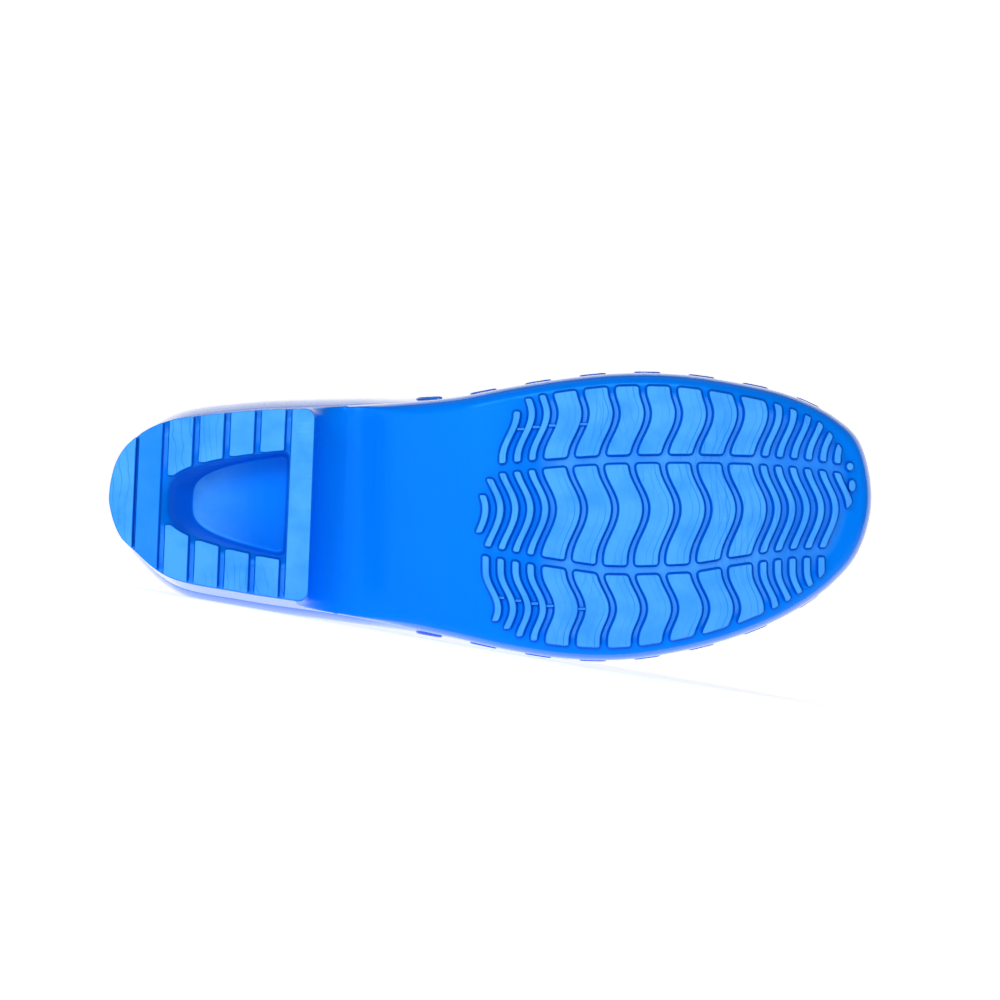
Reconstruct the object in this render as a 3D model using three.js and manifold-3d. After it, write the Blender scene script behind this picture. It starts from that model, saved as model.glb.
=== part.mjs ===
// Hospital clog for the left foot, moulded in glossy blue plastic. Sizes are in millimetres.
// Shoe frame: x from heel to toe, y to the outer side of the foot, z up from the tread.
// The finished group is turned over so that the empty clog lies on its outer side.
import * as THREE from "three";
import { mergeVertices } from "three/addons/utils/BufferGeometryUtils.js";
import { ConvexHull } from "three/addons/math/ConvexHull.js";
import Module from "manifold-3d";

const wasm = await Module();
wasm.setup();

// Main sizes
const shoeLength = 270;
const ballWidth = 101;
const instepHeight = 96;
const heelLift = 21;
const toeSpring = 14.5;
const soleThickness = 7.5;
const wall = 2.8;
const wallFlare = 3.8;
const soleStep = 0.4;
const soleDraft = 1.4;
const ridgeOffset = -4;
const clearance = 0.3;

// Rounding between the underside of the sole and its side
const soleEdgeRadius = 5;
const heelEdgeRadius = 2.5;

// Heel block: its front face, its taper below the sole and its slant across the shoe
const heelBlockLength = shoeLength * 0.261;
const heelSlant = THREE.MathUtils.degToRad(2.5);
const outerTaper = 4.2;
const innerTaper = 1.3;
const taperRear = shoeLength * 0.13;
const breastRadius = 13;
const heelCornerRadius = 3.5;
const breastSteps = [1, 0.5, 0.15];

// Cross grooves of the heel block
const heelGrooveCount = 5;
const heelGroovePitch = 10.7;
const heelGrooveWidth = 2.3;
const heelGrooveDepth = 2.4;
const heelFrontBar = 7.8;
const strikeGrooveOffset = 61;
const strikeGrooveWidth = 1.0;
const strikeGrooveDepth = 0.7;

// Hollow in the underside of the heel block
const hollowLength = 43.3;
const hollowFrontBar = 8;
const hollowWidth = 38.2;
const hollowPower = 0.3;
const hollowDepth = 18;
const hollowSideDraft = 1.6;
const hollowBackSlope = 8;
const hollowSide = -4.4;
const hollowCorner = 2.5;
const hollowLevels = [
  { deep: 0.55, draft: 0.6, back: 0.35 },
  { deep: 1, draft: 1, back: 1 },
];

// Tread of the forefoot
const lugHeight = 2.5;
const lugRoot = 2.5;
const treadMargin = 5.6;
const rearSlack = 1.5;
const shortestLug = 3;
const studWidth = 2.6;
const blockPitch = shoeLength * 0.0404;
const blockWidth = blockPitch * 0.752;
const ribPitch = blockPitch * 0.481;
const ribWidth = ribPitch * 0.457;
const channelWidth = 3.2;

// Ventilation slots in the foot of the upper's wall
const ventLength = 7.7;
const ventHeight = 3.2;
const ventRise = 6.5;
const ventLip = 1;
const ventLipRise = 0.3;
const ventPitch = shoeLength * 0.0719;
const ventRow = 8;
const ventLast = shoeLength * 0.9167;
const ventFlare = 0.6;

// Insole
const insoleThickness = 4;
const insoleGap = 0.6;
const insoleLift = 0.45;
const insoleCup = 2.5;

// Plan of the sole's top edge: along is a share of the length, inner and outer of the ball width.
const plan = [
  { along: 0.007, inner: 0.178, outer: 0.109 },
  { along: 0.03, inner: 0.257, outer: 0.187 },
  { along: 0.074, inner: 0.325, outer: 0.277 },
  { along: 0.167, inner: 0.363, outer: 0.332 },
  { along: 0.296, inner: 0.378, outer: 0.384 },
  { along: 0.444, inner: 0.402, outer: 0.457 },
  { along: 0.519, inner: 0.437, outer: 0.499 },
  { along: 0.593, inner: 0.468, outer: 0.528 },
  { along: 0.667, inner: 0.486, outer: 0.532 },
  { along: 0.741, inner: 0.482, outer: 0.504 },
  { along: 0.815, inner: 0.455, outer: 0.453 },
  { along: 0.889, inner: 0.41, outer: 0.37 },
  { along: 0.948, inner: 0.336, outer: 0.261 },
  { along: 0.983, inner: 0.247, outer: 0.145 },
];
const heelEnd = { along: -0.004, side: -0.03 };
const toeEnd = { along: 1, side: -0.04 };

// Side view: rise is a share of the heel lift, spring of the toe spring, crown of the instep
// height and flare of the wall flare. Square is the exponent of the rounded cross-section.
const sections = [
  { along: -0.03, rise: 1, spring: 0, crown: 1, flare: 0.55, square: 2.6 },
  { along: 0.1, rise: 1, spring: 0, crown: 1, flare: 1, square: 2.6 },
  { along: 0.26, rise: 1, spring: 0, crown: 1, flare: 1, square: 2.4 },
  { along: 0.31, rise: 0.98, spring: 0, crown: 1, flare: 0.95, square: 2.3 },
  { along: 0.37, rise: 0.69, spring: 0, crown: 0.99, flare: 0.65, square: 2.2 },
  { along: 0.43, rise: 0.33, spring: 0, crown: 0.96, flare: 0.35, square: 2.2 },
  { along: 0.485, rise: 0.08, spring: 0, crown: 0.91, flare: 0.15, square: 2.2 },
  { along: 0.53, rise: 0, spring: 0, crown: 0.855, flare: 0.1, square: 2.25 },
  { along: 0.65, rise: 0, spring: 0, crown: 0.725, flare: 0.1, square: 2.4 },
  { along: 0.74, rise: 0, spring: 0, crown: 0.645, flare: 0.1, square: 2.55 },
  { along: 0.83, rise: 0, spring: 0.14, crown: 0.585, flare: 0.1, square: 2.65 },
  { along: 0.92, rise: 0, spring: 0.52, crown: 0.54, flare: 0.1, square: 2.7 },
  { along: 1.02, rise: 0, spring: 1.1, crown: 0.5, flare: 0.1, square: 2.7 },
];

// Collar line in side view, as shares of the length and of the instep height
const collar = [
  { along: -0.06, height: 0.5 },
  { along: 0.05, height: 0.475 },
  { along: 0.16, height: 0.465 },
  { along: 0.24, height: 0.485 },
  { along: 0.31, height: 0.55 },
  { along: 0.37, height: 0.66 },
  { along: 0.42, height: 0.79 },
  { along: 0.455, height: 0.91 },
  { along: 0.485, height: 1.04 },
];

// Tread columns between the two long channels. Bulge is the line where each lug reaches furthest
// forward, and reachIn and reachOut are how far to either side it falls back, by fallIn and fallOut.
// Start is the share of the length where the first block lies. The others are shares of ball width.
const columns = [
  { name: "inner", bulge: -0.337, start: 0.598, blocks: 7, rearRibs: 3, frontRibs: 6 },
  { name: "middle", bulge: -0.005, start: 0.596, blocks: 7, rearRibs: 5, frontRibs: 6 },
  { name: "outer", bulge: 0.342, start: 0.593, blocks: 7, rearRibs: 4, frontRibs: 5 },
];
const falls = {
  inner: { fallIn: 0.018, reachIn: 0.079, fallOut: 0.05, reachOut: 0.158 },
  middle: { fallIn: 0.05, reachIn: 0.153, fallOut: 0.054, reachOut: 0.178 },
  outer: { fallIn: 0.043, reachIn: 0.129, fallOut: 0.032, reachOut: 0.109 },
};

// The two long channels, as shares of the length and of the ball width
const channels = [
  { along: 0.44, inner: -0.128, outer: 0.118 },
  { along: 0.52, inner: -0.148, outer: 0.158 },
  { along: 0.58, inner: -0.163, outer: 0.185 },
  { along: 0.66, inner: -0.175, outer: 0.21 },
  { along: 0.74, inner: -0.178, outer: 0.205 },
  { along: 0.82, inner: -0.175, outer: 0.175 },
  { along: 0.9, inner: -0.162, outer: 0.15 },
  { along: 0.98, inner: -0.135, outer: 0.145 },
];

// Rear limit of the tread across the shoe: side is a share of the ball width
const treadRear = [
  { side: -0.5, along: 0.6 },
  { side: -0.381, along: 0.546 },
  { side: -0.329, along: 0.53 },
  { side: -0.159, along: 0.507 },
  { side: -0.045, along: 0.488 },
  { side: 0.02, along: 0.484 },
  { side: 0.173, along: 0.485 },
  { side: 0.381, along: 0.503 },
  { side: 0.437, along: 0.534 },
  { side: 0.5, along: 0.62 },
];

// Small studs at the toe
const studs = [
  { along: 0.966, side: -0.152, length: 2.8 },
  { along: 0.969, side: -0.085, length: 4.2 },
];

// Smooth curve through one column of a table, without overshoot between its rows
function track(rows, key, unit) {
  const at = rows.map((row) => row.along * shoeLength);
  const value = rows.map((row) => row[key] * unit);
  const step = at.slice(1).map((x, i) => (value[i + 1] - value[i]) / (x - at[i]));
  const slope = value.map((_, i) => {
    if (i === 0) return step[0];
    if (i === step.length) return step[i - 1];
    const [a, b] = [step[i - 1], step[i]];
    return a * b > 0 ? (2 * a * b) / (a + b) : 0;
  });
  return (x) => {
    if (x <= at[0]) return value[0];
    if (x >= at[at.length - 1]) return value[at.length - 1];
    const i = at.findIndex((edge) => edge > x) - 1;
    const width = at[i + 1] - at[i];
    const t = (x - at[i]) / width;
    const s = 1 - t;
    return (
      value[i] * s * s * (1 + 2 * t) +
      value[i + 1] * t * t * (3 - 2 * t) +
      width * t * s * (slope[i] * s - slope[i + 1] * t)
    );
  };
}

const riseAt = track(sections, "rise", heelLift);
const springAt = track(sections, "spring", toeSpring);
const crownAt = track(sections, "crown", instepHeight);
const flareAt = track(sections, "flare", wallFlare);
const squareAt = track(sections, "square", 1);
const collarAt = track(collar, "height", instepHeight);
const innerChannelAt = track(channels, "inner", ballWidth);
const outerChannelAt = track(channels, "outer", ballWidth);

const baseAt = (x) => lugHeight + riseAt(x) + springAt(x);
const seatAt = (x) => baseAt(x) + soleThickness;

// Closed plan outline: from the heel's back along the inner side to the toe and back
const planPoint = (along, side) => new THREE.Vector3(along * shoeLength, side * ballWidth, 0);
const innerSide = plan.map((row) => planPoint(row.along, -row.inner));
const outerSide = plan.map((row) => planPoint(row.along, row.outer));
const outline = new THREE.CatmullRomCurve3(
  [
    planPoint(heelEnd.along, heelEnd.side),
    ...innerSide,
    planPoint(toeEnd.along, toeEnd.side),
    ...outerSide.toReversed(),
  ],
  true,
  "centripetal",
);

function outlinePoint(t) {
  const u = THREE.MathUtils.euclideanModulo(t, 1);
  const point = outline.getPoint(u);
  const tangent = outline.getTangent(u);
  return { x: point.x, y: point.y, nx: tangent.y, ny: -tangent.x };
}

const toeT = (plan.length + 1) / (2 * plan.length + 2);

// Where the inner or outer side of the outline passes a place along the shoe
function outlineTime(x, side) {
  let [low, high] = side < 0 ? [0, toeT] : [1, toeT];
  for (let i = 0; i < 40; i += 1) {
    const middle = (low + high) / 2;
    if (outline.getPoint(middle).x < x) low = middle;
    else high = middle;
  }
  return (low + high) / 2;
}

// The crest of the upper runs between these two places, and the ends fan out from them.
const crestRear = 0.19 * shoeLength;
const crestFront = 0.66 * shoeLength;

// Columns of one ring of points: straight across between the crest's ends, fanned at heel and toe
function ringColumns(stations, toeFan, heelFan) {
  const columnsOut = [];
  const place = (t) => {
    const p = outlinePoint(t);
    columnsOut.push({ ...p, crest: THREE.MathUtils.clamp(p.x, crestRear, crestFront) });
  };
  const along = Array.from({ length: stations + 1 }, (_, i) =>
    THREE.MathUtils.lerp(crestRear, crestFront, i / stations),
  );
  const fan = (from, to, count) => {
    for (let i = 1; i < count; i += 1) place(from + ((to - from) * i) / count);
  };
  const inner = along.map((x) => outlineTime(x, -1));
  const outer = along.map((x) => outlineTime(x, 1));
  inner.forEach(place);
  fan(inner[stations], outer[stations], toeFan);
  outer.toReversed().forEach(place);
  fan(outer[0] - 1, inner[0], heelFan);
  return columnsOut;
}

const columnsAll = ringColumns(9, 14, 12);

// Shares of the way from the edge to the crest line at which every floor has a ring
const floorShares = [0, 0.1, 0.25, 0.42, 0.62, 1];

// A point of a ring: the column's outline point moved in by inset, then by share to the crest line
function ringPoint(column, inset, share, z) {
  const x = THREE.MathUtils.lerp(column.x - column.nx * inset, column.crest, share);
  const y = THREE.MathUtils.lerp(column.y - column.ny * inset, ridgeOffset, share);
  return new THREE.Vector3(x, y, z(x));
}

const ring = (inset, share, z) => columnsAll.map((column) => ringPoint(column, inset, share, z));

// Closed body skinned over rings of equal count; the first and last ring fold onto the crest line
function skin(rings) {
  const positions = rings.flat().flatMap((p) => [p.x, p.y, p.z]);
  const count = rings[0].length;
  const index = [];
  for (let r = 0; r + 1 < rings.length; r += 1) {
    for (let j = 0; j < count; j += 1) {
      const [a, b] = [r * count + j, r * count + ((j + 1) % count)];
      const [c, d] = [a + count, b + count];
      index.push(a, d, b, a, c, d);
    }
  }
  return closedGeometry(positions, index);
}

// Merges equal points and drops the triangles that this folds flat
function closedGeometry(positions, index) {
  const raw = new THREE.BufferGeometry();
  raw.setAttribute("position", new THREE.Float32BufferAttribute(positions, 3));
  raw.setIndex(index);
  const merged = mergeVertices(raw, 1e-4);
  const kept = [];
  for (let i = 0; i < merged.index.count; i += 3) {
    const [a, b, c] = [0, 1, 2].map((k) => merged.index.getX(i + k));
    if (a !== b && b !== c && c !== a) kept.push(a, b, c);
  }
  merged.setIndex(kept);
  return merged;
}

function solid(geometry) {
  const bare = geometry.clone();
  bare.deleteAttribute("normal");
  bare.deleteAttribute("uv");
  const merged = mergeVertices(bare, 1e-4);
  return new wasm.Manifold(
    new wasm.Mesh({
      numProp: 3,
      vertProperties: merged.attributes.position.array,
      triVerts: new Uint32Array(merged.index.array),
    }),
  );
}

function geometryOf(body) {
  const mesh = body.getMesh();
  const geometry = new THREE.BufferGeometry();
  geometry.setAttribute("position", new THREE.BufferAttribute(mesh.vertProperties, 3));
  geometry.setIndex(new THREE.BufferAttribute(mesh.triVerts, 1));
  return geometry;
}

// Straight prism between two outlines of equal count that run round the same way
function prism(lower, upper) {
  const count = lower.length;
  const flip = THREE.ShapeUtils.area(lower) < 0;
  const [floor, roof] = flip ? [lower.toReversed(), upper.toReversed()] : [lower, upper];
  const faces = THREE.ShapeUtils.triangulateShape(
    floor.map((p) => new THREE.Vector2(p.x, p.y)),
    [],
  );
  const index = [];
  faces.forEach(([a, b, c]) => {
    index.push(a, c, b, a + count, b + count, c + count);
  });
  for (let i = 0; i < count; i += 1) {
    const j = (i + 1) % count;
    index.push(i, j, j + count, i, j + count, i + count);
  }
  return closedGeometry([...floor, ...roof].flatMap((p) => [p.x, p.y, p.z]), index);
}

// Outer surface of the upper: angle runs from the sole's edge at 0 to the crest at a right angle
function upperPoint(column, angle, lift) {
  const square = squareAt(column.x);
  const share = 1 - Math.cos(angle) ** (2 / square);
  const climb = Math.sin(angle) ** (2 / square);
  const bulge = flareAt(column.x) * Math.sin(Math.PI * climb ** 0.75);
  const p = ringPoint(column, -bulge, share, () => 0);
  const foot = seatAt(p.x) + lift;
  p.z = foot + (crownAt(p.x) - foot) * climb;
  return p;
}

// Inward normal offset of the upper's outer surface by the wall
function liningPoint(column, angle) {
  const near = 0.01;
  const p = upperPoint(column, angle, clearance);
  if (angle > Math.PI / 2 - near) {
    const slope = (crownAt(p.x + 1) - crownAt(p.x - 1)) / 2;
    const normal = new THREE.Vector3(-slope, 0, 1).normalize();
    return p.addScaledVector(normal, -wall);
  }
  const along = new THREE.Vector3(-column.ny, column.nx, 0);
  const next = { ...column, x: column.x + along.x, y: column.y + along.y };
  next.crest = THREE.MathUtils.clamp(next.x, crestRear, crestFront);
  const across = upperPoint(next, angle, clearance).sub(p);
  const up = upperPoint(column, angle + near, clearance).sub(p);
  const normal = new THREE.Vector3().crossVectors(across, up).normalize();
  return p.addScaledVector(normal, -wall);
}

const upperAngles = [0, 12, 22, 32, 42, 53, 64, 76, 90].map(THREE.MathUtils.degToRad);

function upperBody() {
  const outerRings = upperAngles.map((angle) =>
    columnsAll.map((column) => upperPoint(column, angle, clearance)),
  );
  const floorLift = (x) => seatAt(x) + clearance;
  const outerFloor = floorShares.slice(1).map((share) => ring(0, share, floorLift));
  const outer = solid(skin([...outerRings.toReversed(), ...outerFloor]));

  const innerRings = upperAngles.map((angle) => columnsAll.map((column) => liningPoint(column, angle)));
  const below = (x) => seatAt(x) - wall;
  const innerFloor = [0, 0.4, 1].map((share) => ring(wall, share, below));
  const inner = solid(skin([...innerRings.toReversed(), ...innerFloor]));
  return outer.subtract(inner).subtract(collarCutter());
}

// Everything above the collar line in side view
function collarCutter() {
  const steps = 22;
  const first = collar[0].along * shoeLength;
  const last = collar[collar.length - 1].along * shoeLength;
  const top = instepHeight * 2;
  const points = [new THREE.Vector2(last, top), new THREE.Vector2(first, top)];
  for (let i = 0; i <= steps; i += 1) {
    const x = THREE.MathUtils.lerp(first, last, i / steps);
    points.push(new THREE.Vector2(x, collarAt(x)));
  }
  const geometry = new THREE.ExtrudeGeometry(new THREE.Shape(points), {
    depth: 2 * ballWidth,
    bevelEnabled: false,
  });
  geometry.rotateX(Math.PI / 2);
  geometry.translate(0, ballWidth, 0);
  return solid(geometry);
}

// Oblong with round ends
function oblong(length, height) {
  const [half, radius] = [(length - height) / 2, height / 2];
  const steps = 3;
  const points = [];
  [1, -1].forEach((end) => {
    for (let i = 0; i <= steps; i += 1) {
      const angle = Math.PI * (i / steps - 0.5);
      const [x, y] = [half + radius * Math.cos(angle), radius * Math.sin(angle)];
      points.push(new THREE.Vector2(end * x, end * y));
    }
  });
  return new THREE.Shape(points);
}

// Places of the ventilation slots: a row down each side and one at the tip of the toe
function ventPlaces() {
  const places = [toeT];
  for (let i = 0; i < ventRow; i += 1) {
    [-1, 1].forEach((side) => places.push(outlineTime(ventLast - i * ventPitch, side)));
  }
  return places;
}

function ventPiece(t, length, height, from, to) {
  const p = outlinePoint(t);
  const geometry = new THREE.ExtrudeGeometry(oblong(length, height), {
    depth: to - from,
    bevelEnabled: false,
  });
  const outward = new THREE.Vector3(p.nx, p.ny, 0).normalize();
  const up = new THREE.Vector3(0, 0, 1);
  const side = new THREE.Vector3().crossVectors(up, outward);
  const frame = new THREE.Matrix4().makeBasis(side, up, outward);
  geometry.translate(0, 0, from);
  geometry.applyMatrix4(frame);
  geometry.translate(p.x, p.y, seatAt(p.x) + ventRise);
  return solid(geometry);
}

function makeUpper() {
  let body = upperBody();
  const [lipLength, lipHeight] = [ventLength + 2 * ventLip, ventHeight + 2 * ventLip];
  ventPlaces().forEach((t) => {
    const proud = flareAt(outlinePoint(t).x) * ventFlare + ventLipRise;
    body = body.add(ventPiece(t, lipLength, lipHeight, -wall / 2, proud));
  });
  ventPlaces().forEach((t) => {
    body = body.subtract(ventPiece(t, ventLength, ventHeight, -3 * wall, 2 * wall));
  });
  return geometryOf(body);
}

// Sole plate: flat top that seats the upper, rounded lower edge, underside rising to the heel
function solePlate() {
  const radiusAt = (x) => {
    const from = heelBlockLength + breastRadius;
    const past = THREE.MathUtils.smoothstep(x, from, from + 2 * breastRadius);
    return THREE.MathUtils.lerp(heelEdgeRadius, soleEdgeRadius, past);
  };
  const rollAngles = [90, 60, 30, 0].map(THREE.MathUtils.degToRad);
  const sideRings = rollAngles.map((angle) =>
    columnsAll.map((column) => {
      const radius = radiusAt(column.x);
      const inset = radius * (1 - Math.sin(angle)) + soleDraft - soleStep;
      return ringPoint(column, inset, 0, (x) => baseAt(x) + radius * (1 - Math.cos(angle)));
    }),
  );
  const underside = [0.33, 0.66, 1].map((share) =>
    columnsAll.map((column) => ringPoint(column, radiusAt(column.x) + soleDraft - soleStep, share, baseAt)),
  );
  const top = floorShares.toReversed().map((share) => ring(-soleStep, share, seatAt));
  return solid(skin([...top, ...sideRings, ...underside]));
}

// Front face of the heel block at a height: straight and slanted, curving forward into the sole
function breastAt(z) {
  const start = baseAt(0) - breastRadius;
  const drop = THREE.MathUtils.clamp(z - start, 0, breastRadius * 0.98);
  return heelBlockLength + breastRadius - Math.sqrt(breastRadius ** 2 - drop ** 2);
}

const breastLine = (z, y) => breastAt(z) - y * Math.tan(heelSlant);

// Closed outline of the heel block at a height, tapering below the sole's edge
function heelOutline(z) {
  const share = 1 - z / (baseAt(0) + heelEdgeRadius);
  const side = (t) => {
    const p = outlinePoint(t);
    const inward = THREE.MathUtils.smoothstep(p.x, 0, taperRear) * innerTaper;
    const taper = p.ny < 0 ? -p.ny * inward : p.ny * outerTaper;
    const inset = soleDraft - soleStep + share * taper;
    return { x: p.x - p.nx * inset, y: p.y - p.ny * inset };
  };
  const corner = (sign) => {
    let t = outlineTime(breastAt(z), sign);
    for (let i = 0; i < 6; i += 1) t = outlineTime(breastLine(z, side(t).y) - heelCornerRadius, sign);
    return t;
  };
  const steps = 26;
  const [innerEnd, outerEnd] = [corner(-1), corner(1) - 1];
  const points = [];
  for (let i = 0; i <= steps; i += 1) {
    const p = side(THREE.MathUtils.lerp(innerEnd, outerEnd, i / steps));
    points.push(new THREE.Vector3(p.x, p.y, z));
  }
  const cornerPoint = (sign, turn) => {
    const base = sign < 0 ? points[0] : points[steps];
    const inset = heelCornerRadius * (1 - Math.cos(turn));
    const y = base.y - sign * inset;
    return new THREE.Vector3(base.x + heelCornerRadius * Math.sin(turn), y, z);
  };
  const turns = [45, 90].map(THREE.MathUtils.degToRad);
  const outerCorner = turns.map((turn) => cornerPoint(1, turn));
  const innerCorner = turns.toReversed().map((turn) => cornerPoint(-1, turn));
  const across = [0.25, 0.5, 0.75].map((s) => outerCorner[1].clone().lerp(innerCorner[0], s));
  return [...points, ...outerCorner, ...across, ...innerCorner];
}

// Stack of closed outlines, capped flat at both ends
function loft(rings) {
  let body = null;
  for (let i = 0; i + 1 < rings.length; i += 1) {
    const layer = solid(prism(rings[i], rings[i + 1]));
    body = body ? body.add(layer) : layer;
  }
  return body;
}

function heelBlock() {
  const top = baseAt(0);
  const levels = [0, ...breastSteps.map((share) => top - breastRadius * share), top + 1];
  return loft(levels.map(heelOutline));
}

// Box across the heel, square to its slanted axis
function heelBox(front, length, depth) {
  const geometry = new THREE.BoxGeometry(length, 2 * ballWidth, 2 * depth);
  geometry.translate(front - length / 2, 0, 0);
  geometry.rotateZ(heelSlant);
  return solid(geometry);
}

function heelGrooves() {
  const cuts = [];
  for (let i = 0; i < heelGrooveCount; i += 1) {
    const front = heelBlockLength - heelFrontBar - i * heelGroovePitch;
    cuts.push(heelBox(front, heelGrooveWidth, heelGrooveDepth));
  }
  cuts.push(heelBox(heelBlockLength - strikeGrooveOffset, strikeGrooveWidth, strikeGrooveDepth));
  return cuts;
}

// Bullet-shaped outline of the hollow: square at the front, round at the back
function hollowOutline(z, sideIn, backIn) {
  const front = heelBlockLength - hollowFrontBar - sideIn;
  const back = heelBlockLength - hollowFrontBar - hollowLength + backIn;
  const half = hollowWidth / 2 - sideIn;
  const steps = 12;
  const side = [];
  for (let i = 0; i <= steps; i += 1) {
    const share = (i / steps) ** 3;
    side.push({ x: THREE.MathUtils.lerp(back, front - hollowCorner, share), y: half * share ** hollowPower });
  }
  side.push({ x: front - hollowCorner * 0.3, y: half - hollowCorner * 0.3 });
  side.push({ x: front, y: half - hollowCorner });
  const mirrored = side.slice(1).toReversed().map((p) => ({ x: p.x, y: -p.y }));
  const [cos, sin] = [Math.cos(heelSlant), Math.sin(heelSlant)];
  return [...side, ...mirrored].map((p) => {
    const y = p.y + hollowSide;
    return new THREE.Vector3(p.x * cos - y * sin, p.x * sin + y * cos, z);
  });
}

function heelHollow() {
  const levels = hollowLevels.map(({ deep, draft, back }) =>
    hollowOutline(hollowDepth * deep, hollowSideDraft * draft, hollowBackSlope * back),
  );
  return loft([hollowOutline(-1, 0, 0), ...levels]);
}

// How far a lug has fallen back behind its bulge at a place across the shoe
function lugFall(column, y) {
  const away = y / ballWidth - column.bulge;
  const { fallIn, reachIn, fallOut, reachOut } = falls[column.name];
  const [fall, reach] = away < 0 ? [fallIn, reachIn] : [fallOut, reachOut];
  const turn = Math.min(Math.abs(away) / reach, 1) * Math.PI;
  return (fall * ballWidth * (1 - Math.cos(turn))) / 2;
}

const edgeSamples = Array.from({ length: 360 }, (_, i) => outlinePoint(i / 360));

// Whether a place lies inside the outline and well clear of it
function clearOfEdge(x, y) {
  const away = (p) => Math.hypot(p.x - x, p.y - y);
  const nearest = edgeSamples.reduce((best, p) => (away(p) < away(best) ? p : best));
  return (nearest.x - x) * nearest.nx + (nearest.y - y) * nearest.ny >= treadMargin;
}

// Share of the length at which the tread begins, at a place across the shoe

function treadRearAt(y) {
  const side = THREE.MathUtils.clamp(y / ballWidth, -0.499, 0.499);
  const i = treadRear.findIndex((row) => row.side > side) - 1;
  const [a, b] = [treadRear[i], treadRear[i + 1]];
  return shoeLength * THREE.MathUtils.mapLinear(side, a.side, b.side, a.along, b.along);
}

// Whether a place across the shoe lies between the channels that bound a column
function inColumn(column, x, y) {
  const half = channelWidth / 2;
  if (column.name === "inner") return y < innerChannelAt(x) - half;
  if (column.name === "outer") return y > outerChannelAt(x) + half;
  return y > innerChannelAt(x) + half && y < outerChannelAt(x) - half;
}

// One edge of a lug: its wavy line over the longest stretch that lies within its column and the tread
function lugEdge(column, centre, offset, steps) {
  const allowed = (y) => {
    const middle = centre - lugFall(column, y);
    const x = middle + offset;
    return middle + rearSlack > treadRearAt(y) && inColumn(column, x, y) && clearOfEdge(x, y);
  };
  const step = 0.5;
  const ends = [0, 0];
  let from = null;
  for (let y = -ballWidth / 2; y <= ballWidth / 2; y += step) {
    if (!allowed(y)) from = null;
    else if (from === null) from = y;
    if (from !== null && y - from > ends[1] - ends[0]) ends.splice(0, 2, from, y);
  }
  if (ends[1] - ends[0] < shortestLug) return null;
  return Array.from({ length: steps + 1 }, (_, i) => {
    const y = THREE.MathUtils.lerp(ends[0], ends[1], i / steps);
    return new THREE.Vector2(centre + offset - lugFall(column, y), y);
  });
}

// Prism of a lug's outline, rooted in the sole
function raised(loop) {
  const lower = loop.map((p) => new THREE.Vector3(p.x, p.y, baseAt(p.x) - lugHeight));
  const upper = loop.map((p) => new THREE.Vector3(p.x, p.y, baseAt(p.x) + lugRoot));
  return solid(prism(lower, upper));
}

function lug(column, centre, width) {
  const steps = 5;
  const rear = lugEdge(column, centre, -width / 2, steps);
  const front = lugEdge(column, centre, width / 2, steps);
  return rear && front ? raised([...front, ...rear.toReversed()]) : null;
}

function stud({ along, side, length }) {
  const corners = 8;
  const loop = Array.from({ length: corners }, (_, i) => {
    const angle = (2 * Math.PI * i) / corners;
    const x = along * shoeLength + (studWidth / 2) * Math.cos(angle);
    return new THREE.Vector2(x, side * ballWidth + (length / 2) * Math.sin(angle));
  });
  return raised(loop);
}

function treadLugs() {
  const lugs = studs.map(stud);
  columns.forEach((column) => {
    const firstBlock = column.start * shoeLength;
    const lastBlock = firstBlock + (column.blocks - 1) * blockPitch;
    const step = (blockWidth + ribWidth) / 2 + (ribPitch - ribWidth);
    for (let i = 0; i < column.blocks; i += 1) {
      lugs.push(lug(column, firstBlock + i * blockPitch, blockWidth));
    }
    for (let i = 0; i < column.rearRibs; i += 1) {
      lugs.push(lug(column, firstBlock - step - i * ribPitch, ribWidth));
    }
    for (let i = 0; i < column.frontRibs; i += 1) {
      lugs.push(lug(column, lastBlock + step + i * ribPitch, ribWidth));
    }
  });
  return lugs.filter(Boolean);
}

function makeOutsole() {
  let body = solePlate().add(heelBlock());
  heelGrooves().forEach((cut) => {
    body = body.subtract(cut);
  });
  body = body.subtract(heelHollow());
  treadLugs().forEach((piece) => {
    body = body.add(piece);
  });
  return geometryOf(body);
}

// Removable footbed: follows the seat, with a raised rim round the heel and the arch
function makeInsole() {
  const edge = wall + insoleGap;
  const cupAt = (x) => insoleCup * Math.min(1, riseAt(x) / heelLift + 0.35);
  const under = (x) => seatAt(x) + insoleLift;
  const over = (x) => under(x) + insoleThickness;
  const rim = (x) => over(x) + cupAt(x);
  return skin([
    ring(edge, 1, over),
    ring(edge, 0.55, over),
    ring(edge + 5, 0.1, over),
    ring(edge + 1.2, 0, rim),
    ring(edge, 0, (x) => rim(x) - 1),
    ...floorShares.map((share) => ring(edge, share, under)),
  ]);
}

function piece(name, geometry, color, roughness) {
  const material = new THREE.MeshStandardMaterial({ color, roughness, metalness: 0 });
  const mesh = new THREE.Mesh(geometry, material);
  mesh.name = name;
  return mesh;
}

const clog = new THREE.Group();
clog.add(piece("outsole", makeOutsole(), 0x0082fe, 0.25));
clog.add(piece("upper", makeUpper(), 0x0082fe, 0.22));
clog.add(piece("insole", makeInsole(), 0x0a78e6, 0.5));

// Volume of a closed mesh, and that volume times its centre
function massOf(mesh) {
  const index = mesh.geometry.index;
  const corners = mesh.geometry.attributes.position;
  const corner = (i) => new THREE.Vector3().fromBufferAttribute(corners, index.getX(i));
  const moment = new THREE.Vector3();
  let volume = 0;
  for (let i = 0; i < index.count; i += 3) {
    const [a, b, c] = [corner(i), corner(i + 1), corner(i + 2)];
    const part = a.dot(new THREE.Vector3().crossVectors(b, c)) / 6;
    volume += part;
    moment.addScaledVector(a.add(b).add(c), part / 4);
  }
  return { volume, moment };
}

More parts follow.
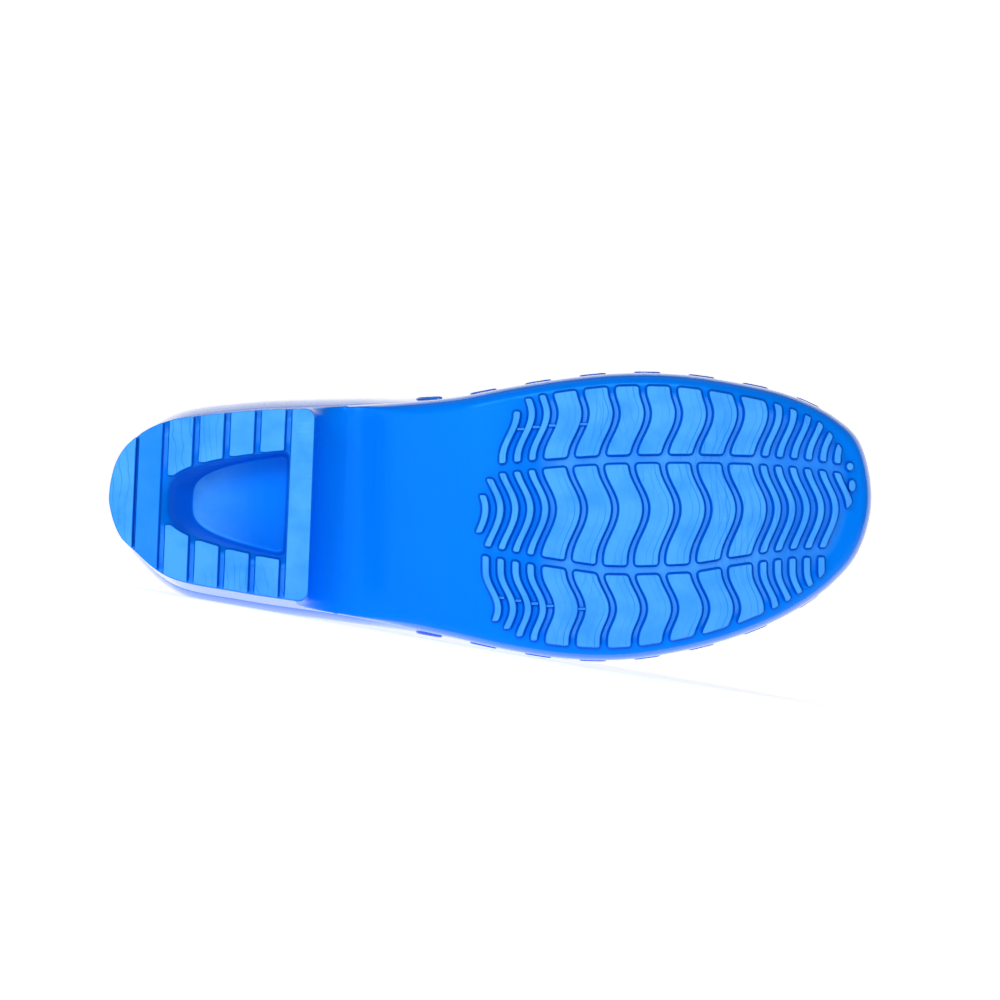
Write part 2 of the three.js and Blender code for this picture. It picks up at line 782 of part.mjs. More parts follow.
function centreOfMass() {
  const masses = clog.children.map(massOf);
  const volume = masses.reduce((sum, mass) => sum + mass.volume, 0);
  return masses.reduce((sum, mass) => sum.add(mass.moment), new THREE.Vector3()).divideScalar(volume);
}

// Outward normal of the hull's face that the clog comes to rest on when it rolls onto its outer side
function restingNormal() {
  const centre = centreOfMass();
  const hull = new ConvexHull().setFromObject(clog);
  const rolls = 8;
  let normal = new THREE.Vector3(0, 1, 0);
  for (let i = 0; i < rolls; i += 1) {
    const down = normal;
    const reach = (face) => face.normal.dot(face.midpoint.clone().sub(centre)) / face.normal.dot(down);
    const facing = hull.faces.filter((face) => face.normal.dot(down) > 0);
    normal = facing.reduce((best, face) => (reach(face) < reach(best) ? face : best)).normal.clone();
  }
  return normal;
}

const up = restingNormal().negate();
const alongFloor = new THREE.Vector3(1, 0, 0).projectOnPlane(up).normalize();
const acrossFloor = new THREE.Vector3().crossVectors(up, alongFloor);
const turn = new THREE.Matrix4().makeBasis(alongFloor, acrossFloor, up).transpose();
clog.quaternion.setFromRotationMatrix(turn);
clog.updateMatrixWorld(true);
const box = new THREE.Box3().setFromObject(clog, true);
clog.position.set(-(box.min.x + box.max.x) / 2, -(box.min.y + box.max.y) / 2, -box.min.z);

const group = new THREE.Group();
group.add(clog);

export default group;
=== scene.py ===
import math

import bmesh
import bpy
import numpy as np
from mathutils import Matrix, Vector
from mathutils.geometry import delaunay_2d_cdt


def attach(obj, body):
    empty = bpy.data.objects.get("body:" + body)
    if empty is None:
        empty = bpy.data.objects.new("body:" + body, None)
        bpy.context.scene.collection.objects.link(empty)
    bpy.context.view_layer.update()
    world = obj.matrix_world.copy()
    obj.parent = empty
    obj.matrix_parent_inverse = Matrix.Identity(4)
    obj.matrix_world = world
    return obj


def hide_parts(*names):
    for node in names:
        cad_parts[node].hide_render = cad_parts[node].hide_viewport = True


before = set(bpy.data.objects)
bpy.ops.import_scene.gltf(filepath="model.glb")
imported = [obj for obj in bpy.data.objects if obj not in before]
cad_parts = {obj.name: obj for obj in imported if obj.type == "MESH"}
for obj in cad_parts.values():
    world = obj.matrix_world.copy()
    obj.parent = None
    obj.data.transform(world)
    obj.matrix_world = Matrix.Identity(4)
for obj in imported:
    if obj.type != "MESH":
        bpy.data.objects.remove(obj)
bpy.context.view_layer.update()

# The clog is worked out in millimetres in its own shoe frame: x from heel to toe, y to the outer
# side, z up from the tread. It lies on its outer side in the row frame, placed by these axes.
MM = 0.001
TOE_AXIS = (0.985169, 0.0, 0.171586)
OUTER_AXIS = (0.171426, 0.043073, -0.984255)
UP_AXIS = (-0.007391, 0.999072, 0.042434)
SHOE_AXES = (TOE_AXIS, OUTER_AXIS, UP_AXIS)
SHOE_ORIGIN = (-131.399, -43.737, 25.5)

# Main sizes, the same as in the part's source
SHOE_LENGTH = 270
BALL_WIDTH = 101
INSTEP_HEIGHT = 96
HEEL_LIFT = 21
TOE_SPRING = 14.5
SOLE_THICKNESS = 7.5
WALL = 2.8
WALL_FLARE = 3.8
SOLE_STEP = 0.4
SOLE_DRAFT = 1.4
RIDGE_OFFSET = -4
CLEARANCE = 0.3
SOLE_EDGE_RADIUS = 5
HEEL_BLOCK_LENGTH = SHOE_LENGTH * 0.261
HEEL_SLANT = math.radians(2.5)
OUTER_TAPER = 4.2
INNER_TAPER = 1.3
TAPER_REAR = SHOE_LENGTH * 0.13
TAPER_TOP = 26
BREAST_RADIUS = 13
HEEL_CORNER_RADIUS = 3.5
HEEL_GROOVE_COUNT = 5
HEEL_GROOVE_PITCH = 10.7
HEEL_GROOVE_WIDTH = 2.3
HEEL_GROOVE_DEPTH = 2.4
HEEL_FRONT_BAR = 7.8
STRIKE_GROOVE_OFFSET = 61
STRIKE_GROOVE_WIDTH = 1.0
HOLLOW_LENGTH = 43.3
HOLLOW_FRONT_BAR = 8
HOLLOW_WIDTH = 38.2
HOLLOW_POWER = 0.3
HOLLOW_DEPTH = 18
HOLLOW_SIDE_DRAFT = 1.6
HOLLOW_BACK_SLOPE = 8
HOLLOW_SIDE = -4.4
HOLLOW_CORNER = 2.5
HOLLOW_BEND = 0.55
HOLLOW_BEND_DRAFT = 0.6
HOLLOW_BEND_SLOPE = 0.35
LUG_HEIGHT = 2.5
TREAD_MARGIN = 5.6
REAR_SLACK = 1.5
SHORTEST_LUG = 3
STUD_WIDTH = 2.6
BLOCK_PITCH = SHOE_LENGTH * 0.0404
BLOCK_WIDTH = BLOCK_PITCH * 0.752
RIB_PITCH = BLOCK_PITCH * 0.481
RIB_WIDTH = RIB_PITCH * 0.457
CHANNEL_WIDTH = 3.2
VENT_LENGTH = 7.7
VENT_HEIGHT = 3.2
VENT_RISE = 6.5
VENT_PITCH = SHOE_LENGTH * 0.0719
VENT_ROW = 8
VENT_LAST = SHOE_LENGTH * 0.9167
INSOLE_THICKNESS = 4
INSOLE_GAP = 0.6
INSOLE_LIFT = 0.45
INSOLE_CUP = 2.5
INSOLE_CUP_LEAST = 0.35
INSOLE_BANK = 5
INSOLE_ROUND = 1.2

# The side wall leans in towards the seam by the inset, over a height above it, less at the toe.
SEAM_INSET = 0.9
SEAM_TOE_SAVING = 0.75
LEAN_HEIGHT = 20
SEAM_ROLL = 0.12
SEAM_DROP = 0.25

# Margin of the tread round the toe, more than along the sides, and the length it grows over
TOE_MARGIN = 2.6
TOE_MARGIN_FROM = 250
TOE_MARGIN_RAMP = 8

# Where the floors of the tread and of the hollow are painted light, and over what lengths that
# fades
FLOOR_PAINTED_LIGHT = 0.85
FLOOR_LIGHT_REAR, FLOOR_REAR_FADE = 150, 8
FLOOR_LIGHT_FRONT, FLOOR_FRONT_FADE = 226, 12
HOLLOW_PAINTED_LIGHT = 0.95
HOLLOW_LIGHT_FRONT, HOLLOW_FADE = 50, 22
# Painted light on the heel's groove floors, painted shade on the hollow's walls and round the vents
GROOVE_PAINTED_LIGHT = 0.45
WALL_SHADE = -0.6
VENT_SHADE = -0.9
# Painted light on the sunk strike pad's top, less than on the other pads
STRIKE_PAINTED_LIGHT = 0.35

# Fine shapes that the solids leave out: rounded edges and feet, drafts, small steps and bars
HEEL_EDGE_RADIUS = 1.2
LUG_EDGE = 0.4
LUG_FOOT = 0.5
LUG_DRAFT = 0.2
LUG_CORNER = 1.3
BAR_EDGE = 0.35
BAR_FOOT = 0.35
BAR_DRAFT = 0.1
BAR_CORNER = 0.8
BAR_TIP = 2.2
BAR_SPACING = 0.5
LUG_SPACING = 0.75
STRIKE_DROP = 0.3
PAD_STRIP = 0.12
PAD_SKIRT = 0.15
PAD_SINK = 0.25
HOLLOW_FLOOR_ROUND = 1.6


def table(columns, *rows):
    names = columns.split()
    return {name: np.array([row[i] for row in rows], float) for i, name in enumerate(names)}


# Plan of the sole's top edge: along is a share of the length, inner and outer of the ball width.
PLAN = table(
    "along inner outer",
    (0.007, 0.178, 0.109),
    (0.03, 0.257, 0.187),
    (0.074, 0.325, 0.277),
    (0.167, 0.363, 0.332),
    (0.296, 0.378, 0.384),
    (0.444, 0.402, 0.457),
    (0.519, 0.437, 0.499),
    (0.593, 0.468, 0.528),
    (0.667, 0.486, 0.532),
    (0.741, 0.482, 0.504),
    (0.815, 0.455, 0.453),
    (0.889, 0.41, 0.37),
    (0.948, 0.336, 0.261),
    (0.983, 0.247, 0.145),
)
HEEL_END = (-0.004, -0.03)
TOE_END = (1, -0.04)

# Side view: rise is a share of the heel lift, spring of the toe spring, crown of the instep
# height and flare of the wall flare. Square is the exponent of the rounded cross-section.
SECTIONS = table(
    "along rise spring crown flare square",
    (-0.03, 1, 0, 1, 0.55, 2.6),
    (0.1, 1, 0, 1, 1, 2.6),
    (0.26, 1, 0, 1, 1, 2.4),
    (0.31, 0.98, 0, 1, 0.95, 2.3),
    (0.37, 0.69, 0, 0.99, 0.65, 2.2),
    (0.43, 0.33, 0, 0.96, 0.35, 2.2),
    (0.485, 0.08, 0, 0.91, 0.15, 2.2),
    (0.53, 0, 0, 0.855, 0.1, 2.25),
    (0.65, 0, 0, 0.725, 0.1, 2.4),
    (0.74, 0, 0, 0.645, 0.1, 2.55),
    (0.83, 0, 0.14, 0.585, 0.1, 2.65),
    (0.92, 0, 0.52, 0.54, 0.1, 2.7),
    (1.02, 0, 1.1, 0.5, 0.1, 2.7),
)

# Collar line in side view, as shares of the length and of the instep height
COLLAR = table(
    "along height",
    (-0.06, 0.5),
    (0.05, 0.475),
    (0.16, 0.465),
    (0.24, 0.485),
    (0.31, 0.55),
    (0.37, 0.66),
    (0.42, 0.79),
    (0.455, 0.91),
    (0.485, 1.04),
)

# The two long channels of the tread, as shares of the length and of the ball width
CHANNELS = table(
    "along inner outer",
    (0.44, -0.128, 0.118),
    (0.52, -0.148, 0.158),
    (0.58, -0.163, 0.185),
    (0.66, -0.175, 0.21),
    (0.74, -0.178, 0.205),
    (0.82, -0.175, 0.175),
    (0.9, -0.162, 0.15),
    (0.98, -0.135, 0.145),
)

# Tread columns: bulge is the line where each lug reaches furthest forward, start the share of the
# length of the first block. Falls are how far a lug falls back to either side, over what reach.
TREAD = {
    "inner": dict(bulge=-0.337, start=0.598, blocks=7, rear_ribs=3, front_ribs=6),
    "middle": dict(bulge=-0.005, start=0.596, blocks=7, rear_ribs=5, front_ribs=6),
    "outer": dict(bulge=0.342, start=0.593, blocks=7, rear_ribs=4, front_ribs=5),
}
FALLS = {
    "inner": dict(fall_in=0.018, reach_in=0.079, fall_out=0.05, reach_out=0.158),
    "middle": dict(fall_in=0.05, reach_in=0.153, fall_out=0.054, reach_out=0.178),
    "outer": dict(fall_in=0.043, reach_in=0.129, fall_out=0.032, reach_out=0.109),
}

# Rear limit of the tread across the shoe: side is a share of the ball width
TREAD_REAR = table(
    "side along",
    (-0.5, 0.6),
    (-0.381, 0.546),
    (-0.329, 0.53),
    (-0.159, 0.507),
    (-0.045, 0.488),
    (0.02, 0.484),
    (0.173, 0.485),
    (0.381, 0.503),
    (0.437, 0.534),
    (0.5, 0.62),
)

# Small studs at the toe
STUDS = table("along side length", (0.966, -0.152, 2.8), (0.969, -0.085, 4.2))

# Fine bars that tie lugs to each other across a gap, in the shoe's own places
TIE_BARS = table(
    "along side length",
    (0.534, -0.281, 2.6),
    (0.554, -0.288, 2.6),
    (0.575, -0.293, 2.6),
    (0.616, -0.298, 3.4),
    (0.508, 0.305, 2.6),
    (0.53, 0.315, 2.6),
    (0.552, 0.325, 2.6),
    (0.572, 0.333, 2.6),
    (0.614, 0.343, 3.4),
)
TIE_WIDTH = 0.9
TIE_HEIGHT = 0.55 * LUG_HEIGHT
TIE_SIZES = (0.2, 0.15, 0.1)
TIE_CORNER = 0.2
TIE_SPACING = 0.4
# Painted light on the tie bars' tops
TIE_PAINTED_LIGHT = 0.6

# Section of a vent's frame from outside to inside: spread beyond the slot, depth over the outer
# face of the wall, or over its inner face where lining is 1
VENT_FRAME = table(
    "spread depth lining",
    (1.05, -0.15, 0),
    (0.98, 0.2, 0),
    (0.85, 0.45, 0),
    (0.6, 0.6, 0),
    (0.3, 0.6, 0),
    (0.1, 0.48, 0),
    (0, 0.25, 0),
    (0, 0.1, 1),
    (0.1, -0.12, 1),
    (0.5, -0.2, 1),
    (1.05, -0.1, 1),
    (1.1, 0.4, 1),
)
VENT_CUT = 0.5
VENT_REACH = 14


# Curves and surfaces of the shoe
def track(rows, key, unit):
    """Smooth curve through one column of a table, without overshoot between its rows."""
    at, value = rows["along"] * SHOE_LENGTH, rows[key] * unit
    step = np.diff(value) / np.diff(at)
    slope = np.zeros(len(at))
    slope[0], slope[-1] = step[0], step[-1]
    product = step[:-1] * step[1:]
    total = np.where(product > 0, step[:-1] + step[1:], 1)
    slope[1:-1] = np.where(product > 0, 2 * product / total, 0)

    def curve(x):
        x = np.clip(np.asarray(x, float), at[0], at[-1])
        i = np.clip(np.searchsorted(at, x, side="right") - 1, 0, len(at) - 2)
        width = at[i + 1] - at[i]
        t = (x - at[i]) / width
        s = 1 - t
        ends = value[i] * s * s * (1 + 2 * t) + value[i + 1] * t * t * (3 - 2 * t)
        return ends + width * t * s * (slope[i] * s - slope[i + 1] * t)

    return curve


rise_at = track(SECTIONS, "rise", HEEL_LIFT)
spring_at = track(SECTIONS, "spring", TOE_SPRING)
crown_at = track(SECTIONS, "crown", INSTEP_HEIGHT)
flare_at = track(SECTIONS, "flare", WALL_FLARE)
square_at = track(SECTIONS, "square", 1)
collar_at = track(COLLAR, "height", INSTEP_HEIGHT)
inner_channel_at = track(CHANNELS, "inner", BALL_WIDTH)
outer_channel_at = track(CHANNELS, "outer", BALL_WIDTH)


def fade(x, start, length):
    """Rises evenly from 0 to 1 over a length."""
    return np.clip((x - start) / length, 0, 1)


def eased(share):
    return share * share * (3 - 2 * share)


def base_at(x):
    return LUG_HEIGHT + rise_at(x) + spring_at(x)


def seat_at(x):
    return base_at(x) + SOLE_THICKNESS


def plan_points():
    scale = np.array([SHOE_LENGTH, BALL_WIDTH])
    inner = np.stack([PLAN["along"], -PLAN["inner"]], 1) * scale
    outer = np.stack([PLAN["along"], PLAN["outer"]], 1) * scale
    heel, toe = np.array([HEEL_END]) * scale, np.array([TOE_END]) * scale
    return np.concatenate([heel, inner, toe, outer[::-1]])


CONTROL = plan_points()
TOE_T = (len(PLAN["along"]) + 1) / len(CONTROL)


def outline_xy(t):
    """Closed centripetal curve through the plan's points, from the heel round the inner side."""
    count = len(CONTROL)
    place = np.mod(t, 1) * count
    i = np.minimum(place.astype(int), count - 1)
    w = (place - i)[..., None]
    p0, p1, p2, p3 = (CONTROL[(i + k) % count] for k in (-1, 0, 1, 2))
    spans = (p1 - p0, p2 - p1, p3 - p2)
    gap = [np.sqrt(np.linalg.norm(span, axis=-1, keepdims=True)) for span in spans]
    start = (p1 - p0) / gap[0] - (p2 - p0) / (gap[0] + gap[1]) + (p2 - p1) / gap[1]
    end = (p2 - p1) / gap[1] - (p3 - p1) / (gap[1] + gap[2]) + (p3 - p2) / gap[2]
    start, end = start * gap[1], end * gap[1]
    square = -3 * p1 + 3 * p2 - 2 * start - end
    cube = 2 * p1 - 2 * p2 + start + end
    return p1 + start * w + square * w**2 + cube * w**3


def outline(t):
    """Points of the outline and its outward normals."""
    t = np.asarray(t, float)
    step = 1e-4
    tangent = outline_xy(t + step) - outline_xy(t - step)
    tangent /= np.linalg.norm(tangent, axis=-1, keepdims=True)
    return outline_xy(t), np.stack([tangent[..., 1], -tangent[..., 0]], -1)


def bisect(low, high, before):
    """Narrows ranges to the places where before turns false."""
    for _ in range(40):
        middle = (low + high) / 2
        under = before(middle)
        low, high = np.where(under, middle, low), np.where(under, high, middle)
    return (low + high) / 2


def outline_time(x, side):
    """Where the inner or outer side of the outline passes a place along the shoe."""
    x = np.asarray(x, float)
    start = np.full(x.shape, 0.0 if side < 0 else 1.0)
    return bisect(start, np.full(x.shape, TOE_T), lambda t: outline_xy(t)[..., 0] < x)


# The crest of the upper runs between these two places, and the ends fan out from them.
CREST_REAR = 0.19 * SHOE_LENGTH
CREST_FRONT = 0.66 * SHOE_LENGTH


def ring_columns(stations, toe_count, heel_count):
    """One ring of columns: straight across at the stations, fanned round the toe and the heel."""
    inner, outer = outline_time(stations, -1), outline_time(stations, 1)
    toe = np.linspace(inner[-1], outer[-1], toe_count + 1)[1:-1]
    heel = np.linspace(outer[0] - 1, inner[0], heel_count + 1)[1:-1]
    return columns_from(np.concatenate([inner, toe, outer[::-1], heel]))


def columns_from(t):
    xy, normal = outline(t)
    return {"xy": xy, "normal": normal, "crest": np.clip(xy[:, 0], CREST_REAR, CREST_FRONT)}


def ring(columns, inset, share, height):
    """Points of a ring: moved in from the outline, then by share towards the crest line."""
    inset = np.broadcast_to(inset, columns["crest"].shape)[:, None]
    share = np.broadcast_to(share, columns["crest"].shape)[:, None]
    edge = columns["xy"] - columns["normal"] * inset
    crest = np.stack([columns["crest"], np.full(len(edge), float(RIDGE_OFFSET))], 1)
    xy = edge + (crest - edge) * share
    return np.concatenate([xy, height(xy[:, 0])[:, None]], 1)


def seam_inset(columns):
    """How far the seam between sole and upper lies inside the outline: less round the toe."""
    return SEAM_INSET - SEAM_TOE_SAVING * np.clip(columns["normal"][:, 0], 0, 1) ** 2


def upper_ring(columns, angle):
    """Outer surface of the upper: angle from the sole's edge at 0 to the crest at a right angle."""
    angle = np.broadcast_to(angle, columns["crest"].shape)
    power = 2 / square_at(columns["xy"][:, 0])
    share = 1 - np.clip(np.cos(angle), 0, 1) ** power
    climb = np.clip(np.sin(angle), 0, 1) ** power
    x = columns["xy"][:, 0]
    bulge = flare_at(x) * np.sin(math.pi * climb**0.75)
    risen = np.clip(climb * (crown_at(x) - seat_at(x)) / LEAN_HEIGHT, 0, 1)
    lean = seam_inset(columns) * (1 - risen) ** 2 * (1 + 2 * risen)
    points = ring(columns, lean - bulge, share, lambda x: x * 0)
    foot = seat_at(points[:, 0]) + CLEARANCE
    points[:, 2] = foot + (crown_at(points[:, 0]) - foot) * climb
    return points


def unit(vectors):
    return vectors / np.maximum(np.linalg.norm(vectors, axis=-1, keepdims=True), 1e-9)


def upper_normal(columns, angle, points):
    """Outward normals of the upper, from small steps along and up its surface."""
    near = 0.01
    angle = np.broadcast_to(angle, columns["crest"].shape)
    normal = columns["normal"]
    along = np.stack([-normal[:, 1], normal[:, 0]], 1)
    moved = dict(columns, xy=columns["xy"] + along)
    moved["crest"] = np.clip(moved["xy"][:, 0], CREST_REAR, CREST_FRONT)
    across = upper_ring(moved, angle) - points
    lower = np.minimum(angle, math.pi / 2 - near)
    up = upper_ring(columns, lower + near) - upper_ring(columns, lower)
    slope = (crown_at(points[:, 0] + 1) - crown_at(points[:, 0] - 1)) / 2
    top = unit(np.stack([-slope, slope * 0, slope * 0 + 1], 1))
    side = unit(np.cross(across, up))
    return np.where((angle > math.pi / 2 - near)[:, None], top, side)


def angle_at_height(columns, height):
    """Angle at which the upper stands a height over the sole's seat."""
    x = columns["xy"][:, 0]
    foot = seat_at(x) + CLEARANCE
    climb = np.clip((height - CLEARANCE) / (crown_at(x) - foot), 0, 1)
    return np.arcsin(climb ** (square_at(x) / 2))


# Mesh building
NO_FLOW = -10.0


def new_object(name, data):
    thing = bpy.data.objects.new(name, data)
    bpy.context.scene.collection.objects.link(thing)
    return thing


class Builder:
    """Collects patches of points and faces, with painted light for each point: 1 rubbed with
    painted sheen, -1 painted shade.

    Flow is the distance in millimetres behind a lug's front edge.
    """

    def __init__(self):
        self.points, self.faces, self.slots = [], [], []
        self.worn, self.flow = [], []
        self.count = 0

    def add(self, points, faces, worn=0.0, slot=0, flow=NO_FLOW):
        points = np.asarray(points, float)
        self.points.append(points)
        self.worn.append(np.broadcast_to(worn, len(points)))
        self.flow.append(np.broadcast_to(flow, len(points)))
        self.faces.extend([int(i) + self.count for i in face] for face in faces)
        self.slots.extend(np.broadcast_to(slot, len(faces)).tolist())
        self.count += len(points)

    def add_rings(self, rings, closed=True, keep=None, worn=0.0, slot=0):
        rows, count = len(rings), len(rings[0])
        self.add(np.concatenate(rings), grid_faces(rows, count, closed, keep), worn, slot)

    def object(self, name, merge=2e-6):
        mesh = bpy.data.meshes.new(name)
        points = np.concatenate(self.points)
        placed = points @ np.array(SHOE_AXES) + np.array(SHOE_ORIGIN)
        mesh.from_pydata((placed * MM).tolist(), [], self.faces)
        mesh.polygons.foreach_set("material_index", self.slots)
        # The per-point painted sheen and painted shade, with rubbing on the tops, goes to the mesh
        # for the materials
        for label, values in (("worn", self.worn), ("flow", self.flow)):
            layer = mesh.attributes.new(label, "FLOAT", "POINT")
            layer.data.foreach_set("value", np.concatenate(values).astype(np.float32))
        body = bmesh.new()
        body.from_mesh(mesh)
        bmesh.ops.remove_doubles(body, verts=body.verts, dist=merge)
        bmesh.ops.recalc_face_normals(body, faces=body.faces)
        body.to_mesh(mesh)
        body.free()
        mesh.shade_smooth()
        return new_object(name, mesh)


def grid_faces(rows, count, closed=True, keep=None):
    faces = []
    last = count if closed else count - 1
    for r in range(rows - 1):
        for j in range(last):
            if keep is not None and not keep[r, j]:
                continue
            k = (j + 1) % count
            faces.append((r * count + j, r * count + k, (r + 1) * count + k, (r + 1) * count + j))
    return faces


def smooth_loop(loop, spacing, corner):
    """Closed loop resampled evenly, with its corners rounded over about the corner size."""
    fine = resample(loop, 3 * max(8, round(loop_length(loop) / spacing)))
    reach = max(1, round(corner / (spacing / 3) / 2))
    for _ in range(2):
        fine = sum(np.roll(fine, k, 0) for k in range(-reach, reach + 1)) / (2 * reach + 1)
    return fine[::3]


def loop_length(loop):
    return np.linalg.norm(np.roll(loop, -1, 0) - loop, axis=1).sum()


def resample(loop, count):
    closed = np.concatenate([loop, loop[:1]])
    at = np.concatenate([[0], np.cumsum(np.linalg.norm(np.diff(closed, axis=0), axis=1))])
    wanted = np.linspace(0, at[-1], count, endpoint=False)
    return np.stack([np.interp(wanted, at, closed[:, i]) for i in range(closed.shape[1])], 1)


def loop_normals(loop):
    """Outward normals of a closed loop that runs either way round."""
    tangent = unit(np.roll(loop, -1, 0) - np.roll(loop, 1, 0))
    normal = np.stack([tangent[:, 1], -tangent[:, 0]], 1)
    x, y = loop[:, 0], loop[:, 1]
    area = (x * np.roll(y, -1) - y * np.roll(x, -1)).sum()
    return normal if area > 0 else -normal


def inset_room(loop, normal, inset):
    """Share of an inset that each point of a loop can take before the inset loop folds over."""
    before, after = loop - np.roll(loop, 1, 0), np.roll(loop, -1, 0) - loop
    turned = (unit(after) - unit(before)) * normal
    bend = -turned.sum(1) / np.maximum(np.linalg.norm(after + before, axis=1) / 2, 1e-6)
    bend = np.max([np.roll(bend, k) for k in range(-3, 4)], axis=0)
    room = np.clip(0.7 / np.maximum(bend, 1e-6) / inset, 0.05, 1)
    room = np.min([np.roll(room, k) for k in range(-2, 3)], axis=0)
    return sum(np.roll(room, k) for k in range(-2, 3)) / 5


def enclosed(points, loop):
    """Whether points lie inside a closed loop."""
    x, y = points[:, None, 0], points[:, None, 1]
    x0, y0 = loop[None, :, 0], loop[None, :, 1]
    x1, y1 = np.roll(x0, -1, 1), np.roll(y0, -1, 1)
    rise = np.where(y1 == y0, 1, y1 - y0)
    crossed = ((y0 > y) != (y1 > y)) & (x < x0 + (x1 - x0) * (y - y0) / rise)
    return crossed.sum(1) % 2 == 1


def add_cap(builder, loop, height, worn, flow):
    """Face across a closed loop, at a height worked out from x."""
    count = len(loop)
    corners = [Vector(p) for p in loop[:, :2].tolist()]
    edges = [(i, (i + 1) % count) for i in range(count)]
    found = delaunay_2d_cdt(corners, edges, [], 0, 1e-4, False)
    xy = np.array([tuple(p) for p in found[0]])
    faces = np.array(found[2])
    faces = faces[enclosed(xy[faces].mean(1), loop)]
    points = np.concatenate([xy, height(xy[:, 0])[:, None]], 1)
    builder.add(points, faces, worn, 0, flow(xy))


def no_flow(points):
    return NO_FLOW


def add_pad(builder, loop, top, root, sizes, worn=1.0, flush=None, flow=no_flow):
    """Raised pad: flat top, rounded top edge, drafted wall and a fillet at its foot.

    Sizes are edge, foot and draft. Top and root are heights as functions of x. Flush is 1 where the
    wall goes on below the root.
    """
    edge, foot, draft = sizes
    normal = loop_normals(loop)
    free = 1 - (flush if flush is not None else np.zeros(len(loop)))[:, None]
    room = inset_room(loop, normal, edge + PAD_STRIP)[:, None]
    rings, ring_sheen_and_shade = [], []

    def level(out, share, drop):
        xy = loop + normal * (out * room if share == 0 else out)
        z = top(xy[:, 0]) * (1 - share) + root(xy[:, 0]) * share + drop
        rings.append(np.concatenate([xy, z[:, None]], 1))

    # Ring values: the top keeps the pad's rubbing and painted sheen, the rounded edge fades into
    # painted shade
    level(-edge - PAD_STRIP, 0, 0)
    ring_sheen_and_shade.append(worn)
    for turn in np.radians((0, 25, 50, 75, 90)):
        level(edge * (math.sin(turn) - 1), 0, edge * (1 - math.cos(turn)))
        ring_sheen_and_shade.append(worn * (1 - turn * 1.1))
    # Wall, foot and skirt: painted shade
    for turn in np.radians((0, 30, 60, 90)):
        out = (draft + foot * (1 - math.cos(turn))) * free
        level(out, 1, -foot * (1 - math.sin(turn)))
        ring_sheen_and_shade.append(-1)
    level((draft + foot + PAD_SKIRT) * free, 1, PAD_SINK)
    ring_sheen_and_shade.append(-1)
    points = np.concatenate(rings)
    faces = grid_faces(len(rings), len(loop))
    builder.add(points, faces, np.repeat(ring_sheen_and_shade, len(loop)), 0, flow(points))
    add_cap(builder, rings[0], top, worn, flow)


# Sole plate
def sole_edge_radius(x):
    start = HEEL_BLOCK_LENGTH + BREAST_RADIUS
    past = eased(fade(x, start, 2 * BREAST_RADIUS))
    return HEEL_EDGE_RADIUS + (SOLE_EDGE_RADIUS - HEEL_EDGE_RADIUS) * past


def add_plate(builder):
    """Seat, side and underside of the sole: the seat, the side and most of its roll are slot 1, the
    rest slot 0.
    """
    side_rows = 12
    columns = ring_columns(np.linspace(CREST_REAR, CREST_FRONT, 110), 100, 70)
    radius = sole_edge_radius(columns["xy"][:, 0])
    seam = seam_inset(columns)
    edge = seam - SEAM_ROLL
    rings = [ring(columns, seam, share, seat_at) for share in (1, 0.6, 0.3, 0.1, 0)]
    full = SOLE_THICKNESS - SEAM_DROP
    for turn in np.radians((35, 65, 90)):
        inset = seam - SEAM_ROLL * math.sin(turn)
        drop = SEAM_DROP * (1 - math.cos(turn))
        rings.append(ring(columns, inset, 0, lambda x: seat_at(x) - drop))
    roll = []
    for turn in np.radians(np.linspace(90, 0, 20))[1:]:
        inset = edge + radius * (1 - math.sin(turn))
        roll.append(ring(columns, inset, 0, lambda x: base_at(x) + full * (1 - math.cos(turn))))
    under = [ring(columns, radius + edge, share, base_at) for share in np.linspace(0, 1, 24)[1:]]
    builder.add_rings([*rings, *roll[:side_rows]], slot=1)
    builder.add_rings(roll[side_rows - 1:])
    # Painted light on the tread's floor between the lugs, fading in at its rear and halved towards
    # the toe, not on the outermost rows
    x = np.concatenate([roll[-1], *under])[:, 0]
    rear = fade(x, FLOOR_LIGHT_REAR, FLOOR_REAR_FADE)
    front = 1 - 0.5 * fade(x, FLOOR_LIGHT_FRONT, FLOOR_FRONT_FADE)
    inside = np.repeat(np.arange(len(under) + 1) > 1, len(radius))
    builder.add_rings([roll[-1], *under], worn=FLOOR_PAINTED_LIGHT * rear * front * inside)


# Heel block
def breast_at(z):
    """Front face of the block, which sweeps forward into the shank."""
    start = base_at(0) - BREAST_RADIUS
    drop = np.clip(z - start, 0, BREAST_RADIUS)
    return HEEL_BLOCK_LENGTH + BREAST_RADIUS - np.sqrt(BREAST_RADIUS**2 - drop**2)


def heel_side(t, z):
    """Side of the heel block at a height, tapering below the sole's edge."""
    xy, normal = outline(t)
    share = 1 - z / TAPER_TOP
    inward = INNER_TAPER * eased(fade(xy[..., 0], 0, TAPER_REAR))
    taper = np.where(normal[..., 1] < 0, -normal[..., 1] * inward, normal[..., 1] * OUTER_TAPER)
    inset = SOLE_DRAFT - SOLE_STEP + share * taper
    if share <= 0:
        inset = np.full(taper.shape, SOLE_DRAFT - SOLE_STEP + 0.04 * (TAPER_TOP - z))
    return xy - normal * inset[..., None]


